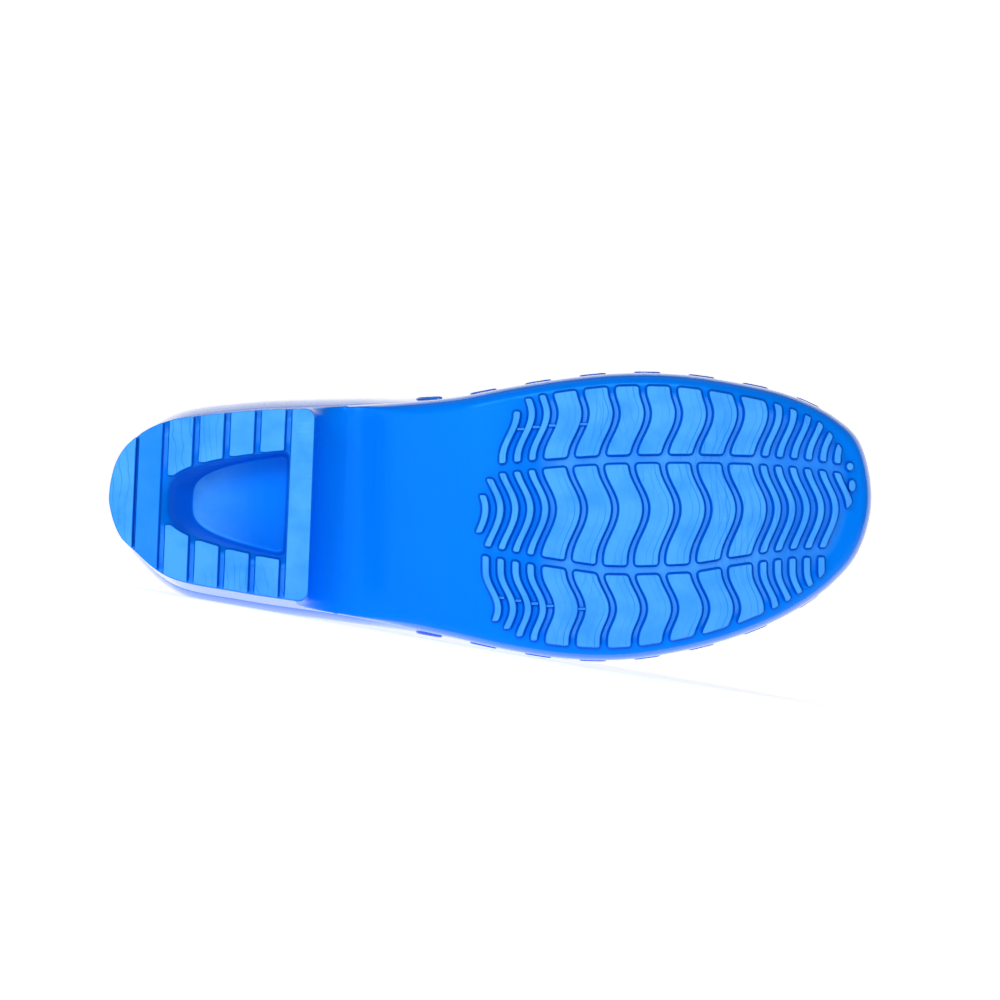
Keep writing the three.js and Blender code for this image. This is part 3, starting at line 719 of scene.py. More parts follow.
def heel_outline(z, count):
    """Closed outline of the heel block at a height."""
    slant = math.tan(HEEL_SLANT)
    ends = []
    for sign in (-1, 1):
        t = outline_time(breast_at(z), sign)
        for _ in range(8):
            t = outline_time(breast_at(z) - heel_side(t, z)[1] * slant - HEEL_CORNER_RADIUS, sign)
        ends.append(t)
    side = heel_side(np.linspace(ends[0], ends[1] - 1, 240), z)
    turn = np.radians(np.linspace(0, 90, 9))[1:]
    corners = []
    for sign, base in ((1, side[-1]), (-1, side[0])):
        x = base[0] + HEEL_CORNER_RADIUS * np.sin(turn)
        y = base[1] - sign * HEEL_CORNER_RADIUS * (1 - np.cos(turn))
        corners.append(np.stack([x, y], 1))
    loop = np.concatenate([side, corners[0], corners[1][::-1]])
    return resample(loop, count)


def turned(points, angle):
    cos, sin = math.cos(angle), math.sin(angle)
    return points @ np.array([[cos, sin], [-sin, cos]])


def slanted(points):
    """From the heel's own slanted axes to the shoe's."""
    return turned(points, HEEL_SLANT)


def unslanted(points):
    return turned(points, -HEEL_SLANT)


def bezier(points, count):
    """Points of a curve drawn by control points, without its end."""
    t = np.linspace(0, 1, count, endpoint=False)[:, None]
    points = [np.array(p, float) for p in points]
    while len(points) > 1:
        points = [a * (1 - t) + b * t for a, b in zip(points, points[1:])]
    return points[0]


def hollow_outline(side_in, back_in, steps=60):
    """Bullet-shaped outline of the hollow in the heel's slanted axes."""
    front = HEEL_BLOCK_LENGTH - HOLLOW_FRONT_BAR - side_in
    back = HEEL_BLOCK_LENGTH - HOLLOW_FRONT_BAR - HOLLOW_LENGTH + back_in
    half, corner = HOLLOW_WIDTH / 2 - side_in, HOLLOW_CORNER
    share = np.linspace(0, 1, steps, endpoint=False) ** 3
    side = np.stack([back + (front - corner - back) * share, half * share**HOLLOW_POWER], 1)
    bend = bezier([(front - corner, half), (front, half), (front, half - corner)], 12)
    upper = np.concatenate([side, bend, bezier([(front, half - corner), (front, 0)], 20)])
    lower = upper[1:][::-1] * np.array([1, -1])
    loop = np.concatenate([upper, [[front, 0]], lower])
    return loop + np.array([0, HOLLOW_SIDE])


def by_angle(loop, centre, angles):
    """Points of a closed loop in the given directions from a centre inside it."""
    away = loop - centre
    turn = np.arctan2(away[:, 1], away[:, 0])
    order = np.argsort(turn)
    turn, reach = turn[order], np.linalg.norm(away, axis=1)[order]
    far = np.interp(angles, turn, reach, period=2 * math.pi)
    return centre + np.stack([np.cos(angles), np.sin(angles)], 1) * far[:, None]


def flat_ring(xy, z):
    return np.concatenate([xy, np.full((len(xy), 1), float(z))], 1)


def add_heel(builder):
    """Outside of the heel block, the groove floors and the hollow, in rings round one centre."""
    count = 360
    breast_depth = 5
    start = base_at(0) - BREAST_RADIUS
    fillet = start + BREAST_RADIUS * np.sin(np.radians(np.linspace(0, 90, 14)))
    seat = float(seat_at(0))
    upright = np.linspace(TAPER_TOP, seat - 0.3, 5)
    levels = (HEEL_GROOVE_DEPTH, 5, 8, *fillet, *upright)
    outer = [flat_ring(heel_outline(z, count), z) for z in levels]

    # From the hollow's mouth in the groove floors down its walls to its rounded floor
    centre = hollow_outline(0, 0).mean(0)
    away = unslanted(outer[0][:, :2]) - centre
    angles = np.arctan2(away[:, 1], away[:, 0])
    wall_depth = HOLLOW_DEPTH - HOLLOW_FLOOR_ROUND
    inner = []
    for z in np.linspace(HEEL_GROOVE_DEPTH, wall_depth, 9):
        inner.append(hollow_ring(centre, angles, z, 0))
    for turn in np.radians(np.linspace(0, 90, 6))[1:]:
        z = wall_depth + HOLLOW_FLOOR_ROUND * math.sin(turn)
        inner.append(hollow_ring(centre, angles, z, HOLLOW_FLOOR_ROUND * (1 - math.cos(turn))))
    middle, rim = slanted(centre[None])[0], inner[-1]
    for share in (0.25, 0.6, 1):
        inward = rim.copy()
        inward[:, :2] += (middle - rim[:, :2]) * share
        inner.append(inward)
    floor_rows = 6

    # The sides have the plastic of the sole's edge, the front face that of its underside
    along = np.stack([unslanted(level[:, :2])[:, 0] for level in outer])
    breast = along > along.max(1, keepdims=True) - breast_depth
    builder.add_rings(outer, slot=np.where(breast[1:] & breast[:-1], 0, 1).ravel())
    floors = [outer[0] * (1 - s) + inner[0] * s for s in (0.33, 0.66)]
    rings = [outer[0], *floors, *inner]
    x = np.concatenate(rings)[:, 0]
    deep = np.repeat(np.arange(len(rings)) >= len(rings) - floor_rows, count)
    # Painted light on the hollow's floor, lighter towards the heel's end
    painted_lightening = fade(-x, -HOLLOW_LIGHT_FRONT, HOLLOW_FADE) * HOLLOW_PAINTED_LIGHT
    # Painted light on the groove floors, painted shade on the hollow's walls
    shallow = np.repeat([GROOVE_PAINTED_LIGHT] * 3 + [WALL_SHADE] * len(inner), count)
    builder.add_rings(rings, worn=np.where(deep, painted_lightening, shallow))
    add_heel_bars(builder)


def hollow_ring(centre, angles, z, shrink):
    """Ring of the hollow at a depth: its walls lean in, at another slope below the bend."""
    share = z / HOLLOW_DEPTH
    draft = HOLLOW_SIDE_DRAFT * np.interp(share, (0, HOLLOW_BEND, 1), (0, HOLLOW_BEND_DRAFT, 1))
    slope = HOLLOW_BACK_SLOPE * np.interp(share, (0, HOLLOW_BEND, 1), (0, HOLLOW_BEND_SLOPE, 1))
    loop = by_angle(hollow_outline(draft, slope), centre, angles)
    loop -= unit(loop - centre) * shrink
    return flat_ring(slanted(loop), z)


def clipped(loop, axis, limit, sign):
    """Part of a closed loop on one side of a line across the given axis."""
    kept = []
    for a, b in zip(loop, np.roll(loop, -1, 0)):
        inside_a, inside_b = ((p[axis] - limit) * sign >= 0 for p in (a, b))
        if inside_a:
            kept.append(a)
        if inside_a != inside_b:
            kept.append(a + (b - a) * (limit - a[axis]) / (b[axis] - a[axis]))
    return np.array(kept)


def slice_of(loop, rear, front):
    return clipped(clipped(loop, 0, rear, 1), 0, front, -1)


def beside_hollow(bar, hollow, sign):
    """The part of a bar to one side of the hollow, with its tip at the hollow's back cut short."""
    rear, front = bar[:, 0].min(), bar[:, 0].max()
    edge = hollow[(hollow[:, 1] - HOLLOW_SIDE) * sign > 0]
    edge = edge[np.argsort(edge[:, 0])]
    places = np.linspace(rear, front, 80)
    side = np.interp(places, edge[:, 0], edge[:, 1])
    tip = np.interp(rear + BAR_TIP, edge[:, 0], edge[:, 1])
    side = np.maximum(side, tip) if sign > 0 else np.minimum(side, tip)
    away = bar[(bar[:, 1] - HOLLOW_SIDE) * sign > 0]
    order = np.argsort(np.arctan2(away[:, 1] - HOLLOW_SIDE, away[:, 0] - (rear + front) / 2) * sign)
    inner = np.stack([places, side], 1)
    outer = away[order]
    outer = outer[(outer[:, 1] - tip) * sign > 0.3]
    return np.concatenate([inner, outer])


def add_heel_bars(builder):
    """Pads between the cross grooves: whole ones at both ends, pairs beside the hollow."""
    block = unslanted(heel_outline(HEEL_GROOVE_DEPTH / 2, 900))
    hollow = hollow_outline(0, 0, 90)
    first = HEEL_BLOCK_LENGTH - HEEL_FRONT_BAR
    fronts = [first - i * HEEL_GROOVE_PITCH for i in range(HEEL_GROOVE_COUNT)]
    strike = HEEL_BLOCK_LENGTH - STRIKE_GROOVE_OFFSET
    far = 1e3
    bars = [(slice_of(block, fronts[0], far), 0)]
    for ahead, behind in zip(fronts, fronts[1:]):
        bar = slice_of(block, behind, ahead - HEEL_GROOVE_WIDTH)
        bars += [(beside_hollow(bar, hollow, sign), 0) for sign in (-1, 1)]
    bars.append((slice_of(block, strike, fronts[-1] - HEEL_GROOVE_WIDTH), STRIKE_DROP))
    bars.append((slice_of(block, -far, strike - STRIKE_GROOVE_WIDTH), 0))

    def root(x):
        return x * 0 + HEEL_GROOVE_DEPTH

    for loop, sunk in bars:
        loop = smooth_loop(loop, BAR_SPACING, BAR_CORNER)
        near = np.linalg.norm(loop[:, None] - block[None], axis=2).min(1)
        flush = np.clip(1 - (near - 0.1) / 0.6, 0, 1)
        # Pad tops: rubbed with painted sheen, the sunk strike pad painted less light
        worn = STRIKE_PAINTED_LIGHT if sunk else 1.0
        sizes = (BAR_EDGE, BAR_FOOT, BAR_DRAFT)
        add_pad(builder, slanted(loop), lambda x: x * 0 + sunk, root, sizes, worn, flush)


# Tread of the forefoot
def lug_fall(name, y):
    """How far a lug of a column falls back from its furthest point, across the shoe."""
    away = y / BALL_WIDTH - TREAD[name]["bulge"]
    falls = FALLS[name]
    fall = np.where(away < 0, falls["fall_in"], falls["fall_out"])
    reach = np.where(away < 0, falls["reach_in"], falls["reach_out"])
    turn = np.minimum(np.abs(away) / reach, 1) * math.pi
    return fall * BALL_WIDTH * (1 - np.cos(turn)) / 2


EDGE_SAMPLES = outline(np.arange(1440) / 1440)


def clear_of_edge(x, y):
    """Whether places lie inside the outline by the tread's margin."""
    places, normals = EDGE_SAMPLES
    away = places - np.stack([x, y], -1)[:, None]
    nearest = np.argmin(np.linalg.norm(away, axis=2), 1)
    gap = np.take_along_axis(away, nearest[:, None, None], 1)[:, 0]
    margin = TREAD_MARGIN + TOE_MARGIN * fade(x, TOE_MARGIN_FROM, TOE_MARGIN_RAMP)
    return (gap * normals[nearest]).sum(1) >= margin


def in_column(name, x, y):
    """Whether places across the shoe lie between the channels that bound a column."""
    half = CHANNEL_WIDTH / 2
    if name == "inner":
        return y < inner_channel_at(x) - half
    if name == "outer":
        return y > outer_channel_at(x) + half
    return (y > inner_channel_at(x) + half) & (y < outer_channel_at(x) - half)


def lug_edge(name, centre, offset):
    """One edge of a lug: its wavy line over the longest stretch within its column and the tread."""
    y = np.arange(-BALL_WIDTH / 2, BALL_WIDTH / 2, 0.1)
    middle = centre - lug_fall(name, y)
    x = middle + offset
    rear = np.interp(y / BALL_WIDTH, TREAD_REAR["side"], TREAD_REAR["along"]) * SHOE_LENGTH
    allowed = (middle + REAR_SLACK > rear) & in_column(name, x, y) & clear_of_edge(x, y)
    steps = np.diff(np.concatenate([[0], allowed.astype(int), [0]]))
    starts, ends = np.flatnonzero(steps == 1), np.flatnonzero(steps == -1) - 1
    if len(starts) == 0:
        return None
    longest = np.argmax(ends - starts)
    low, high = y[starts[longest]], y[ends[longest]]
    if high - low < SHORTEST_LUG:
        return None
    y = np.linspace(low, high, 60)
    return np.stack([centre + offset - lug_fall(name, y), y], 1)


def trimmed(edge, other, width):
    """The part of an edge that the opposite edge of its lug reaches too, give or take its width."""
    y = edge[:, 1]
    return edge[(y > other[:, 1].min() - width) & (y < other[:, 1].max() + width)]


def tread_top(x):
    return base_at(x) - LUG_HEIGHT


LUG_SIZES = (LUG_EDGE, LUG_FOOT, LUG_DRAFT)


def add_lug(builder, name, centre, width):
    rear, front = (lug_edge(name, centre, side * width / 2) for side in (-1, 1))
    if rear is None or front is None:
        return
    rear, front = trimmed(rear, front, width), trimmed(front, rear, width)
    corner = min(LUG_CORNER, width * 0.4)
    loop = smooth_loop(np.concatenate([front, rear[::-1]]), LUG_SPACING, corner)

    def flow(points):
        return centre + width / 2 - lug_fall(name, points[:, 1]) - points[:, 0]

    wide = width > 2 * RIB_WIDTH
    add_pad(builder, loop, tread_top, base_at, LUG_SIZES, flow=flow if wide else no_flow)


def add_studs(builder):
    turn = np.linspace(0, 2 * math.pi, 28, endpoint=False)
    for along, side, length in zip(*STUDS.values()):
        x = along * SHOE_LENGTH + STUD_WIDTH / 2 * np.cos(turn)
        y = side * BALL_WIDTH + length / 2 * np.sin(turn)
        add_pad(builder, np.stack([x, y], 1), tread_top, base_at, LUG_SIZES)


def add_tie_bars(builder):
    for along, side, length in zip(*TIE_BARS.values()):
        x = along * SHOE_LENGTH + np.array([-1, 1, 1, -1]) * length / 2
        y = side * BALL_WIDTH + np.array([-1, -1, 1, 1]) * TIE_WIDTH / 2
        loop = smooth_loop(np.stack([x, y], 1), TIE_SPACING, TIE_CORNER)
        # Tie bars: tops painted light, walls painted shade
        add_pad(builder, loop, lambda x: base_at(x) - TIE_HEIGHT, base_at, TIE_SIZES, TIE_PAINTED_LIGHT)


def add_tread(builder):
    step = (BLOCK_WIDTH + RIB_WIDTH) / 2 + (RIB_PITCH - RIB_WIDTH)
    for name, column in TREAD.items():
        first = column["start"] * SHOE_LENGTH
        last = first + (column["blocks"] - 1) * BLOCK_PITCH
        for i in range(column["blocks"]):
            add_lug(builder, name, first + i * BLOCK_PITCH, BLOCK_WIDTH)
        for i in range(column["rear_ribs"]):
            add_lug(builder, name, first - step - i * RIB_PITCH, RIB_WIDTH)
        for i in range(column["front_ribs"]):
            add_lug(builder, name, last + step + i * RIB_PITCH, RIB_WIDTH)
    add_studs(builder)
    add_tie_bars(builder)


def make_outsole():
    builder = Builder()
    add_plate(builder)
    add_heel(builder)
    add_tread(builder)
    return builder.object("outsole_skin")


# Upper
def rim_line(x):
    """Collar line lowered by half the wall, which the rounded rim adds again."""
    slope = (collar_at(x + 0.5) - collar_at(x - 0.5))
    return collar_at(x) - WALL / 2 * np.sqrt(1 + slope**2)


def collar_tip():
    """Place along the shoe where the collar line meets the crest."""
    return float(bisect(CREST_REAR, 0.485 * SHOE_LENGTH, lambda x: rim_line(x) < crown_at(x)))


def upper_columns(tip):
    """Columns of the upper, closer together near the tip of the collar."""
    near = tip - (tip - CREST_REAR) * np.linspace(1, 0, 95) ** 1.6
    ahead = np.linspace(tip, CREST_FRONT, 75)[1:]
    return ring_columns(np.concatenate([near, ahead]), 330, 170)


def top_angle(columns, tip):
    """Angle at which each column ends: at the collar line, or at the crest ahead of it."""

    def under_collar(angle):
        points = upper_ring(columns, angle)
        return points[:, 2] < rim_line(points[:, 0])

    count = len(columns["crest"])
    found = bisect(np.zeros(count), np.full(count, math.pi / 2), under_collar)
    return np.where(columns["xy"][:, 0] < tip - 1e-6, found, math.pi / 2)


def vent_times():
    """Places of the vents round the outline: the toe's, then both rows."""
    stations = VENT_LAST - VENT_PITCH * np.arange(VENT_ROW)
    return [TOE_T, *outline_time(stations, -1), *outline_time(stations, 1)]


def slot_distance(points, t):
    """Distance of points from the edge of the slot at t, and a large one far from it."""
    xy, normal = outline(np.array([t]))
    tangent = np.array([-normal[0, 1], normal[0, 0]])
    away = points[..., :2] - xy[0]
    du = away @ tangent
    dz = points[..., 2] - (seat_at(xy[0, 0]) + VENT_RISE)
    radius = VENT_HEIGHT / 2
    du_past = np.maximum(np.abs(du) - (VENT_LENGTH / 2 - radius), 0)
    distance = np.hypot(du_past, dz) - radius
    return np.where(np.linalg.norm(away, axis=-1) < VENT_REACH, distance, 1e3)


def open_faces(rings):
    """Faces of a grid that no slot takes away."""
    grid = np.stack(rings)
    centre = (grid[:-1] + grid[1:] + np.roll(grid, -1, 1)[:-1] + np.roll(grid, -1, 1)[1:]) / 4
    keep = np.ones(centre.shape[:2], bool)
    for t in vent_times():
        keep &= slot_distance(centre, t) > VENT_CUT
    return keep


def add_vent(builder, t):
    """Raised frame round a slot, through the wall and round its inner edge."""
    count = 44
    turn = np.linspace(0, 2 * math.pi, count, endpoint=False)
    radius = VENT_HEIGHT / 2
    half = VENT_LENGTH / 2 - radius
    _, normal = outline(np.array([t]))
    outward = np.array([normal[0, 0], normal[0, 1], 0])
    step = 1e-4
    ends = outline_xy(np.array([t - step, t + step]))
    speed = np.linalg.norm(ends[1] - ends[0]) / (2 * step)

    def wall_ring(spread, depth, lining):
        du = np.sign(np.cos(turn)) * half + (radius + spread) * np.cos(turn)
        dz = (radius + spread) * np.sin(turn)
        columns = columns_from(t + du / speed)
        angle = angle_at_height(columns, VENT_RISE + dz)
        points = upper_ring(columns, angle)
        facing = np.clip(upper_normal(columns, angle, points) @ outward, 0.4, 1)
        return points + outward * (depth - lining * WALL / facing)[:, None]

    rings = [wall_ring(*row) for row in zip(*VENT_FRAME.values())]
    # Painted shade over the frame's lip, throat and inner edge, all but its outer foot
    shade = [0, *[VENT_SHADE] * (len(rings) - 1), 0]
    builder.add_rings([*rings, rings[0]], worn=np.repeat(shade, count))


def make_upper():
    """Outer face and lining with the slots left open, the foot between them, the rim and frames."""
    builder = Builder()
    band, row_height = 10.6, 0.75
    tip = collar_tip()
    columns = upper_columns(tip)
    end = top_angle(columns, tip)
    angles = [angle_at_height(columns, z) for z in np.arange(CLEARANCE, band, row_height)]
    share = np.linspace(0, 1, 21)[1:]
    angles += [angles[-1] + (end - angles[-1]) * s for s in share]
    outer, lining = [], []
    for angle in angles:
        points = upper_ring(columns, angle)
        outer.append(points)
        lining.append(points - upper_normal(columns, angle, points) * WALL)
    builder.add_rings(outer, keep=open_faces(outer))
    builder.add_rings(lining, keep=open_faces(lining))
    seam = np.array([0, 0, CLEARANCE])
    foot = [outer[0] + (lining[0] - outer[0]) * s - seam for s in (0, 0.5, 1)]
    builder.add_rings([outer[0], *foot, lining[0]])

    # Rounded rim of the collar, from the tip down the outer side, round the heel and back
    cut = np.flatnonzero(columns["xy"][:, 0] <= tip + 1e-6)
    outer_side = cut[cut > len(columns["crest"]) // 2]
    inner_side = cut[cut < len(columns["crest"]) // 2]
    order = np.concatenate([outer_side, inner_side])
    edge, inside = outer[-1][order], lining[-1][order]
    along = unit(np.gradient(edge, axis=0))
    along[0] = along[-1] = (0, 1, 0)
    half = (edge - inside) / 2
    lift = unit(np.cross(half, along)) * np.linalg.norm(half, axis=1)[:, None]
    lift *= np.sign(lift[len(lift) // 2, 2])
    middle = (edge + inside) / 2
    rim = [middle + half * math.cos(a) + lift * math.sin(a) for a in np.linspace(0, math.pi, 9)]
    builder.add_rings(rim, closed=False)
    for t in vent_times():
        add_vent(builder, t)
    return builder.object("upper_skin")


# Insole
def make_insole():
    """Footbed with a raised bank round its edge, higher at the heel."""
    builder = Builder()
    columns = ring_columns(np.linspace(CREST_REAR, CREST_FRONT, 70), 60, 50)
    edge = WALL + INSOLE_GAP + SEAM_INSET / 2

    def cup(x):
        return INSOLE_CUP * np.minimum(1, rise_at(x) / HEEL_LIFT + INSOLE_CUP_LEAST)

    def under(x):
        return seat_at(x) + INSOLE_LIFT

    def over(x):
        return under(x) + INSOLE_THICKNESS

    rings = [ring(columns, edge + INSOLE_BANK, share, over) for share in (1, 0.7, 0.4, 0.2, 0.12)]
    for s in np.linspace(0, 1, 8)[1:]:
        inset = edge + INSOLE_BANK - (INSOLE_BANK - INSOLE_ROUND) * s
        rings.append(ring(columns, inset, 0.1 * (1 - s), lambda x: over(x) + cup(x) * eased(s)))
    for turn in np.radians((30, 60, 90)):
        inset = edge + INSOLE_ROUND * (1 - math.sin(turn))
        drop = INSOLE_ROUND * (1 - math.cos(turn))
        rings.append(ring(columns, inset, 0, lambda x: over(x) + cup(x) - drop))
    rings += [ring(columns, edge, share, under) for share in (0, 0.1, 0.25, 0.42, 0.62, 1)]
    builder.add_rings(rings)
    return builder.object("insole_skin")


# Materials
def nodes_of(name):
    material = bpy.data.materials.new(name)
    material.use_nodes = True
    tree = material.node_tree
    return material, tree, tree.nodes["Principled BSDF"]


def feed(socket, value):
    """Links an input to a socket, or sets its value."""
    if isinstance(value, bpy.types.NodeSocket):
        socket.id_data.links.new(value, socket)
    else:
        socket.default_value = value


def set_inputs(node, **values):
    for key, value in values.items():
        feed(node.inputs[key.replace("_", " ")], value)


def math_node(tree, operation, first, second=0.0):
    node = tree.nodes.new("ShaderNodeMath")
    node.operation = operation
    feed(node.inputs[0], first)
    feed(node.inputs[1], second)
    return node.outputs[0]


def add_node(tree, kind, **inputs):
    node = tree.nodes.new(kind)
    set_inputs(node, **inputs)
    return node


def shoe_coordinates(tree, scale):
    """Object coordinates turned to the shoe's axes and stretched."""
    place = tree.nodes.new("ShaderNodeTexCoord").outputs["Object"]
    angles = Matrix(SHOE_AXES).to_euler()
    place = add_node(tree, "ShaderNodeMapping", Vector=place, Rotation=angles).outputs["Vector"]
    return add_node(tree, "ShaderNodeMapping", Vector=place, Scale=scale).outputs["Vector"]


def ranged(tree, value, low, high, bottom=0.0, top=1.0):
    """Value carried from one range to another and clamped to it."""
    limits = {"From_Min": low, "From_Max": high, "To_Min": bottom, "To_Max": top}
    return add_node(tree, "ShaderNodeMapRange", Value=value, **limits).outputs["Result"]


def noise(tree, scale, detail, low, high, stretch=(1, 1, 1)):
    place = shoe_coordinates(tree, stretch)
    texture = add_node(tree, "ShaderNodeTexNoise", Vector=place, Scale=scale, Detail=detail)
    return ranged(tree, texture.outputs["Fac"], low, high)


def bump(tree, height, distance, strength, under=None):
    """Normal of a bumpy surface, on top of another one's."""
    node = add_node(tree, "ShaderNodeBump", Height=height, Distance=distance, Strength=strength)
    if under is not None:
        feed(node.inputs["Normal"], under)
    return node.outputs["Normal"]


def colour_socket(node, letter):
    return [s for s in node.inputs if s.name == letter and s.type == "RGBA"][0]


def tint(tree, factor, first, second):
    """Mix of two colours, each a tuple or a socket, by a socket or a number."""
    node = tree.nodes.new("ShaderNodeMix")
    node.data_type = "RGBA"
    sockets = (node.inputs[0], colour_socket(node, "A"), colour_socket(node, "B"))
    for value, socket in zip((factor, first, second), sockets):
        feed(socket, value)
    return [s for s in node.outputs if s.type == "RGBA"][0]


def scaled(tree, value, factor):
    return math_node(tree, "MULTIPLY", value, factor)


# Base colours, and the tints of the reflections from the sole's underside and from its sides
MOULDED_BLUE = (0.0, 0.2, 0.93, 1)
DEEP_BLUE = (0.0, 0.17, 0.84, 1)
# Lighter blue for tops rubbed with painted sheen and for floors with painted light
WEAR_AND_SHEEN_BLUE = (0.08, 0.4, 1.0, 1)
# Darker blue of painted shade
SHADE_BLUE = (0.0, 0.075, 0.5, 1)
DEEP_SHEEN = (0.06, 0.45, 1.0, 1)
PALE_SHEEN = (0.9, 0.95, 1.0, 1)
FOAM_BLUES = ((0.01, 0.13, 0.6, 1), (0.02, 0.19, 0.74, 1))


def attribute(tree, name):
    node = tree.nodes.new("ShaderNodeAttribute")
    node.attribute_name = name
    return node.outputs["Fac"]


def flow_line(tree, distance, width, strength):
    """Thin line at a distance behind a lug's front edge, a little broken."""
    wander = noise(tree, 70, 2, 0.3, 0.7)
    place = ranged(tree, wander, 0, 1, distance - 0.25, distance + 0.25)
    away = math_node(tree, "ABSOLUTE", math_node(tree, "SUBTRACT", attribute(tree, "flow"), place))
    line = ranged(tree, away, width, width * 0.4)
    return scaled(tree, scaled(tree, line, noise(tree, 45, 2, 0.35, 0.55)), strength)


def wrinkles(tree):
    """Fine wavy marks in patches, shown where tops and floors are painted lighter."""
    place = shoe_coordinates(tree, (1, 0.5, 1))
    wave = add_node(
        tree, "ShaderNodeTexWave", Vector=place, Scale=120.0, Distortion=14.0, Detail=3.0,
        Detail_Scale=0.6,
    )
    lines = ranged(tree, wave.outputs["Fac"], 0.1, 0.0)
    return scaled(tree, scaled(tree, lines, noise(tree, 26, 1, 0.5, 0.62)), 0.45)


def moulded_plastic(name, worn_share, smoothest, roughest, tint_colour, coat):
    """Glossy moulded plastic: faint flow marks, fine scratches, tops a little rubbed, painted sheen
    and shade.
    """
    material, tree, surface = nodes_of(name)
    worn = attribute(tree, "worn")
    base = tint(tree, scaled(tree, noise(tree, 22, 3, 0.35, 0.7), 0.35), MOULDED_BLUE, DEEP_BLUE)
    # Painted light: tops rubbed with painted sheen and floors with painted light turn towards the
    # lighter blue
    painted_lightening = scaled(tree, ranged(tree, worn, 0, 1), worn_share)
    painted_lightening = scaled(tree, painted_lightening, ranged(tree, noise(tree, 90, 4, 0.3, 0.6), 0, 1, 0.6, 1))
    colour = tint(tree, painted_lightening, base, WEAR_AND_SHEEN_BLUE)
    if worn_share > 0:
        marks = (flow_line(tree, 1.9, 0.22, 0.75), flow_line(tree, 4.3, 0.16, 0.4), wrinkles(tree))
        for mark in marks:
            colour = tint(tree, scaled(tree, mark, ranged(tree, worn, 0.5, 1)), colour, DEEP_BLUE)
    # Painted shade: walls, feet, edges and vent frames turn towards the darker blue
    colour = tint(tree, scaled(tree, ranged(tree, worn, 0, -1), 0.7), colour, SHADE_BLUE)
    normal = bump(tree, noise(tree, 30, 2, 0.2, 0.8, (1, 0.25, 1)), 0.0006, 0.35)
    normal = bump(tree, noise(tree, 420, 2, 0.62, 0.72, (1, 0.06, 1)), 0.00006, 0.5, normal)
    normal = bump(tree, noise(tree, 380, 2, 0.64, 0.74, (0.07, 1, 1)), 0.00006, 0.45, normal)
    gloss = ranged(tree, noise(tree, 60, 4, 0.3, 0.75), 0, 1, smoothest, roughest)
    set_inputs(surface, Base_Color=colour, Normal=normal, Roughness=gloss)
    set_inputs(surface, Specular_IOR_Level=0.5, Specular_Tint=tint_colour)
    set_inputs(surface, Coat_Weight=coat, Coat_Roughness=0.05)
    return material


def footbed_foam(name):
    """Satin foam with a fine pebble grain."""
    material, tree, surface = nodes_of(name)
    colour = tint(tree, noise(tree, 35, 3, 0.3, 0.7), *FOAM_BLUES)
    grain = bump(tree, noise(tree, 650, 2, 0.3, 0.7), 0.0003, 0.5)
    set_inputs(surface, Base_Color=colour, Normal=grain, Roughness=0.55, Specular_IOR_Level=0.4)
    return material


# The clog
outsole = make_outsole()
upper = make_upper()
insole = make_insole()
outsole.data.materials.append(moulded_plastic("outsole_plastic", 0.9, 0.16, 0.28, DEEP_SHEEN, 0.0))
outsole.data.materials.append(moulded_plastic("side_plastic", 0.0, 0.09, 0.16, PALE_SHEEN, 0.9))
upper.data.materials.append(moulded_plastic("upper_plastic", 0.0, 0.09, 0.16, PALE_SHEEN, 0.9))
insole.data.materials.append(footbed_foam("insole_foam"))
for piece, node in ((outsole, "outsole"), (upper, "upper"), (insole, "insole")):
    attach(piece, "root")
    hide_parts(node)


# Stage, light and camera
def plain_material(name, colour, glow):
    material, _, surface = nodes_of(name)
    set_inputs(surface, Base_Color=colour, Roughness=0.9, Specular_IOR_Level=0.0)
    set_inputs(surface, Emission_Color=colour, Emission_Strength=glow)
    return material


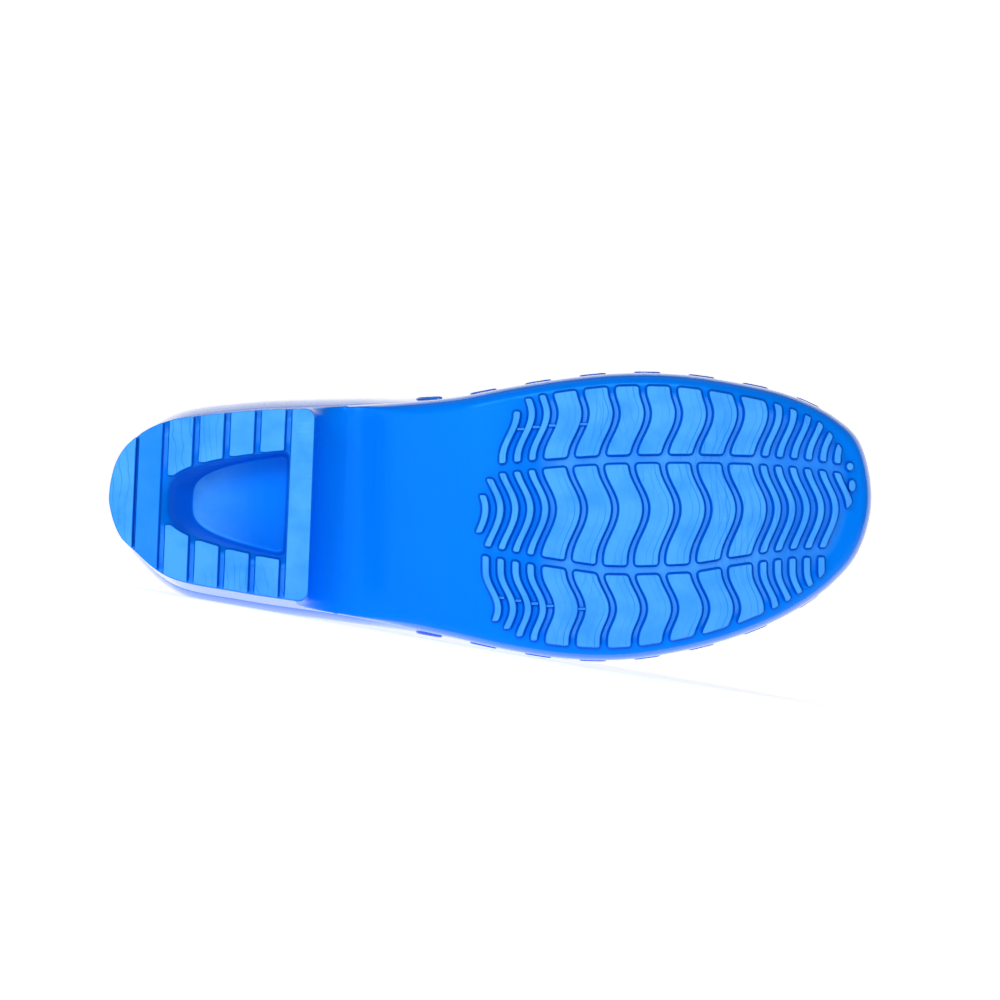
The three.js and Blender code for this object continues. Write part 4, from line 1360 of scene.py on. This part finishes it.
def make_floor():
    """Pale floor that curves up into a wall far behind."""
    half_width, front, bend, far, height = 6.0, -3.0, 1.6, 2.6, 4.0
    turn = np.radians(np.linspace(0, 90, 16))
    profile = [(front, 0.0)]
    profile += [(bend + (far - bend) * math.sin(a), (far - bend) * (1 - math.cos(a))) for a in turn]
    profile.append((far, height))
    points = [(x, y, z) for y, z in profile for x in (-half_width, half_width)]
    faces = [(2 * i, 2 * i + 1, 2 * i + 3, 2 * i + 2) for i in range(len(profile) - 1)]
    mesh = bpy.data.meshes.new("floor")
    mesh.from_pydata(points, [], faces)
    mesh.shade_smooth()
    mesh.materials.append(plain_material("pale_floor", (0.95, 0.95, 0.95, 1), 0.66))
    return new_object("floor", mesh)


make_floor()

SHOE_TO_ROW = Matrix(SHOE_AXES).transposed()


def row_point(x, y, z):
    return (SHOE_TO_ROW @ Vector((x, y, z)) + Vector(SHOE_ORIGIN)) * MM


def add_area_light(name, place, target, size, power):
    light = bpy.data.lights.new(name, "AREA")
    light.shape = "DISK"
    light.size = size
    light.energy = power
    thing = new_object(name, light)
    thing.location = place
    thing.rotation_euler = (place - target).to_track_quat("Z", "Y").to_euler()


# The camera looks squarely at the sole, as in the photo, with the toe to the right.
CAMERA_AIM = (136.9, -3.5, 0)
CAMERA_DISTANCE = 1000
PICTURE_WIDTH = 350
SENSOR = 36

# Lights: place in the shoe's frame, size in metres and power
LIGHTS = {
    "key": ((CAMERA_AIM[0] - 520, -420, -950), 0.5, 3.4),
    "front": ((CAMERA_AIM[0] + 60, -700, -1350), 0.8, 9),
}
WORLD_STRENGTH = 0.12

target = row_point(*CAMERA_AIM)
for name, (place, size, power) in LIGHTS.items():
    add_area_light(name, row_point(*place), target, size, power)

world = bpy.data.worlds.new("studio")
world.use_nodes = True
set_inputs(world.node_tree.nodes["Background"], Color=(1, 1, 1, 1), Strength=WORLD_STRENGTH)
bpy.context.scene.world = world

camera_data = bpy.data.cameras.new("camera")
camera_data.sensor_width = SENSOR
camera_data.lens = SENSOR * CAMERA_DISTANCE / PICTURE_WIDTH
camera_data.clip_start = 0.005
camera_data.clip_end = 50
camera = new_object("camera", camera_data)
right = SHOE_TO_ROW @ Vector((1, 0, 0))
up = SHOE_TO_ROW @ Vector((0, -1, 0))
back = right.cross(up)
camera_axes = Matrix((right, up, back)).transposed().to_4x4()
camera.matrix_world = Matrix.Translation(target + back * CAMERA_DISTANCE * MM) @ camera_axes
bpy.context.scene.camera = camera
bpy.context.scene.view_settings.view_transform = "Standard"
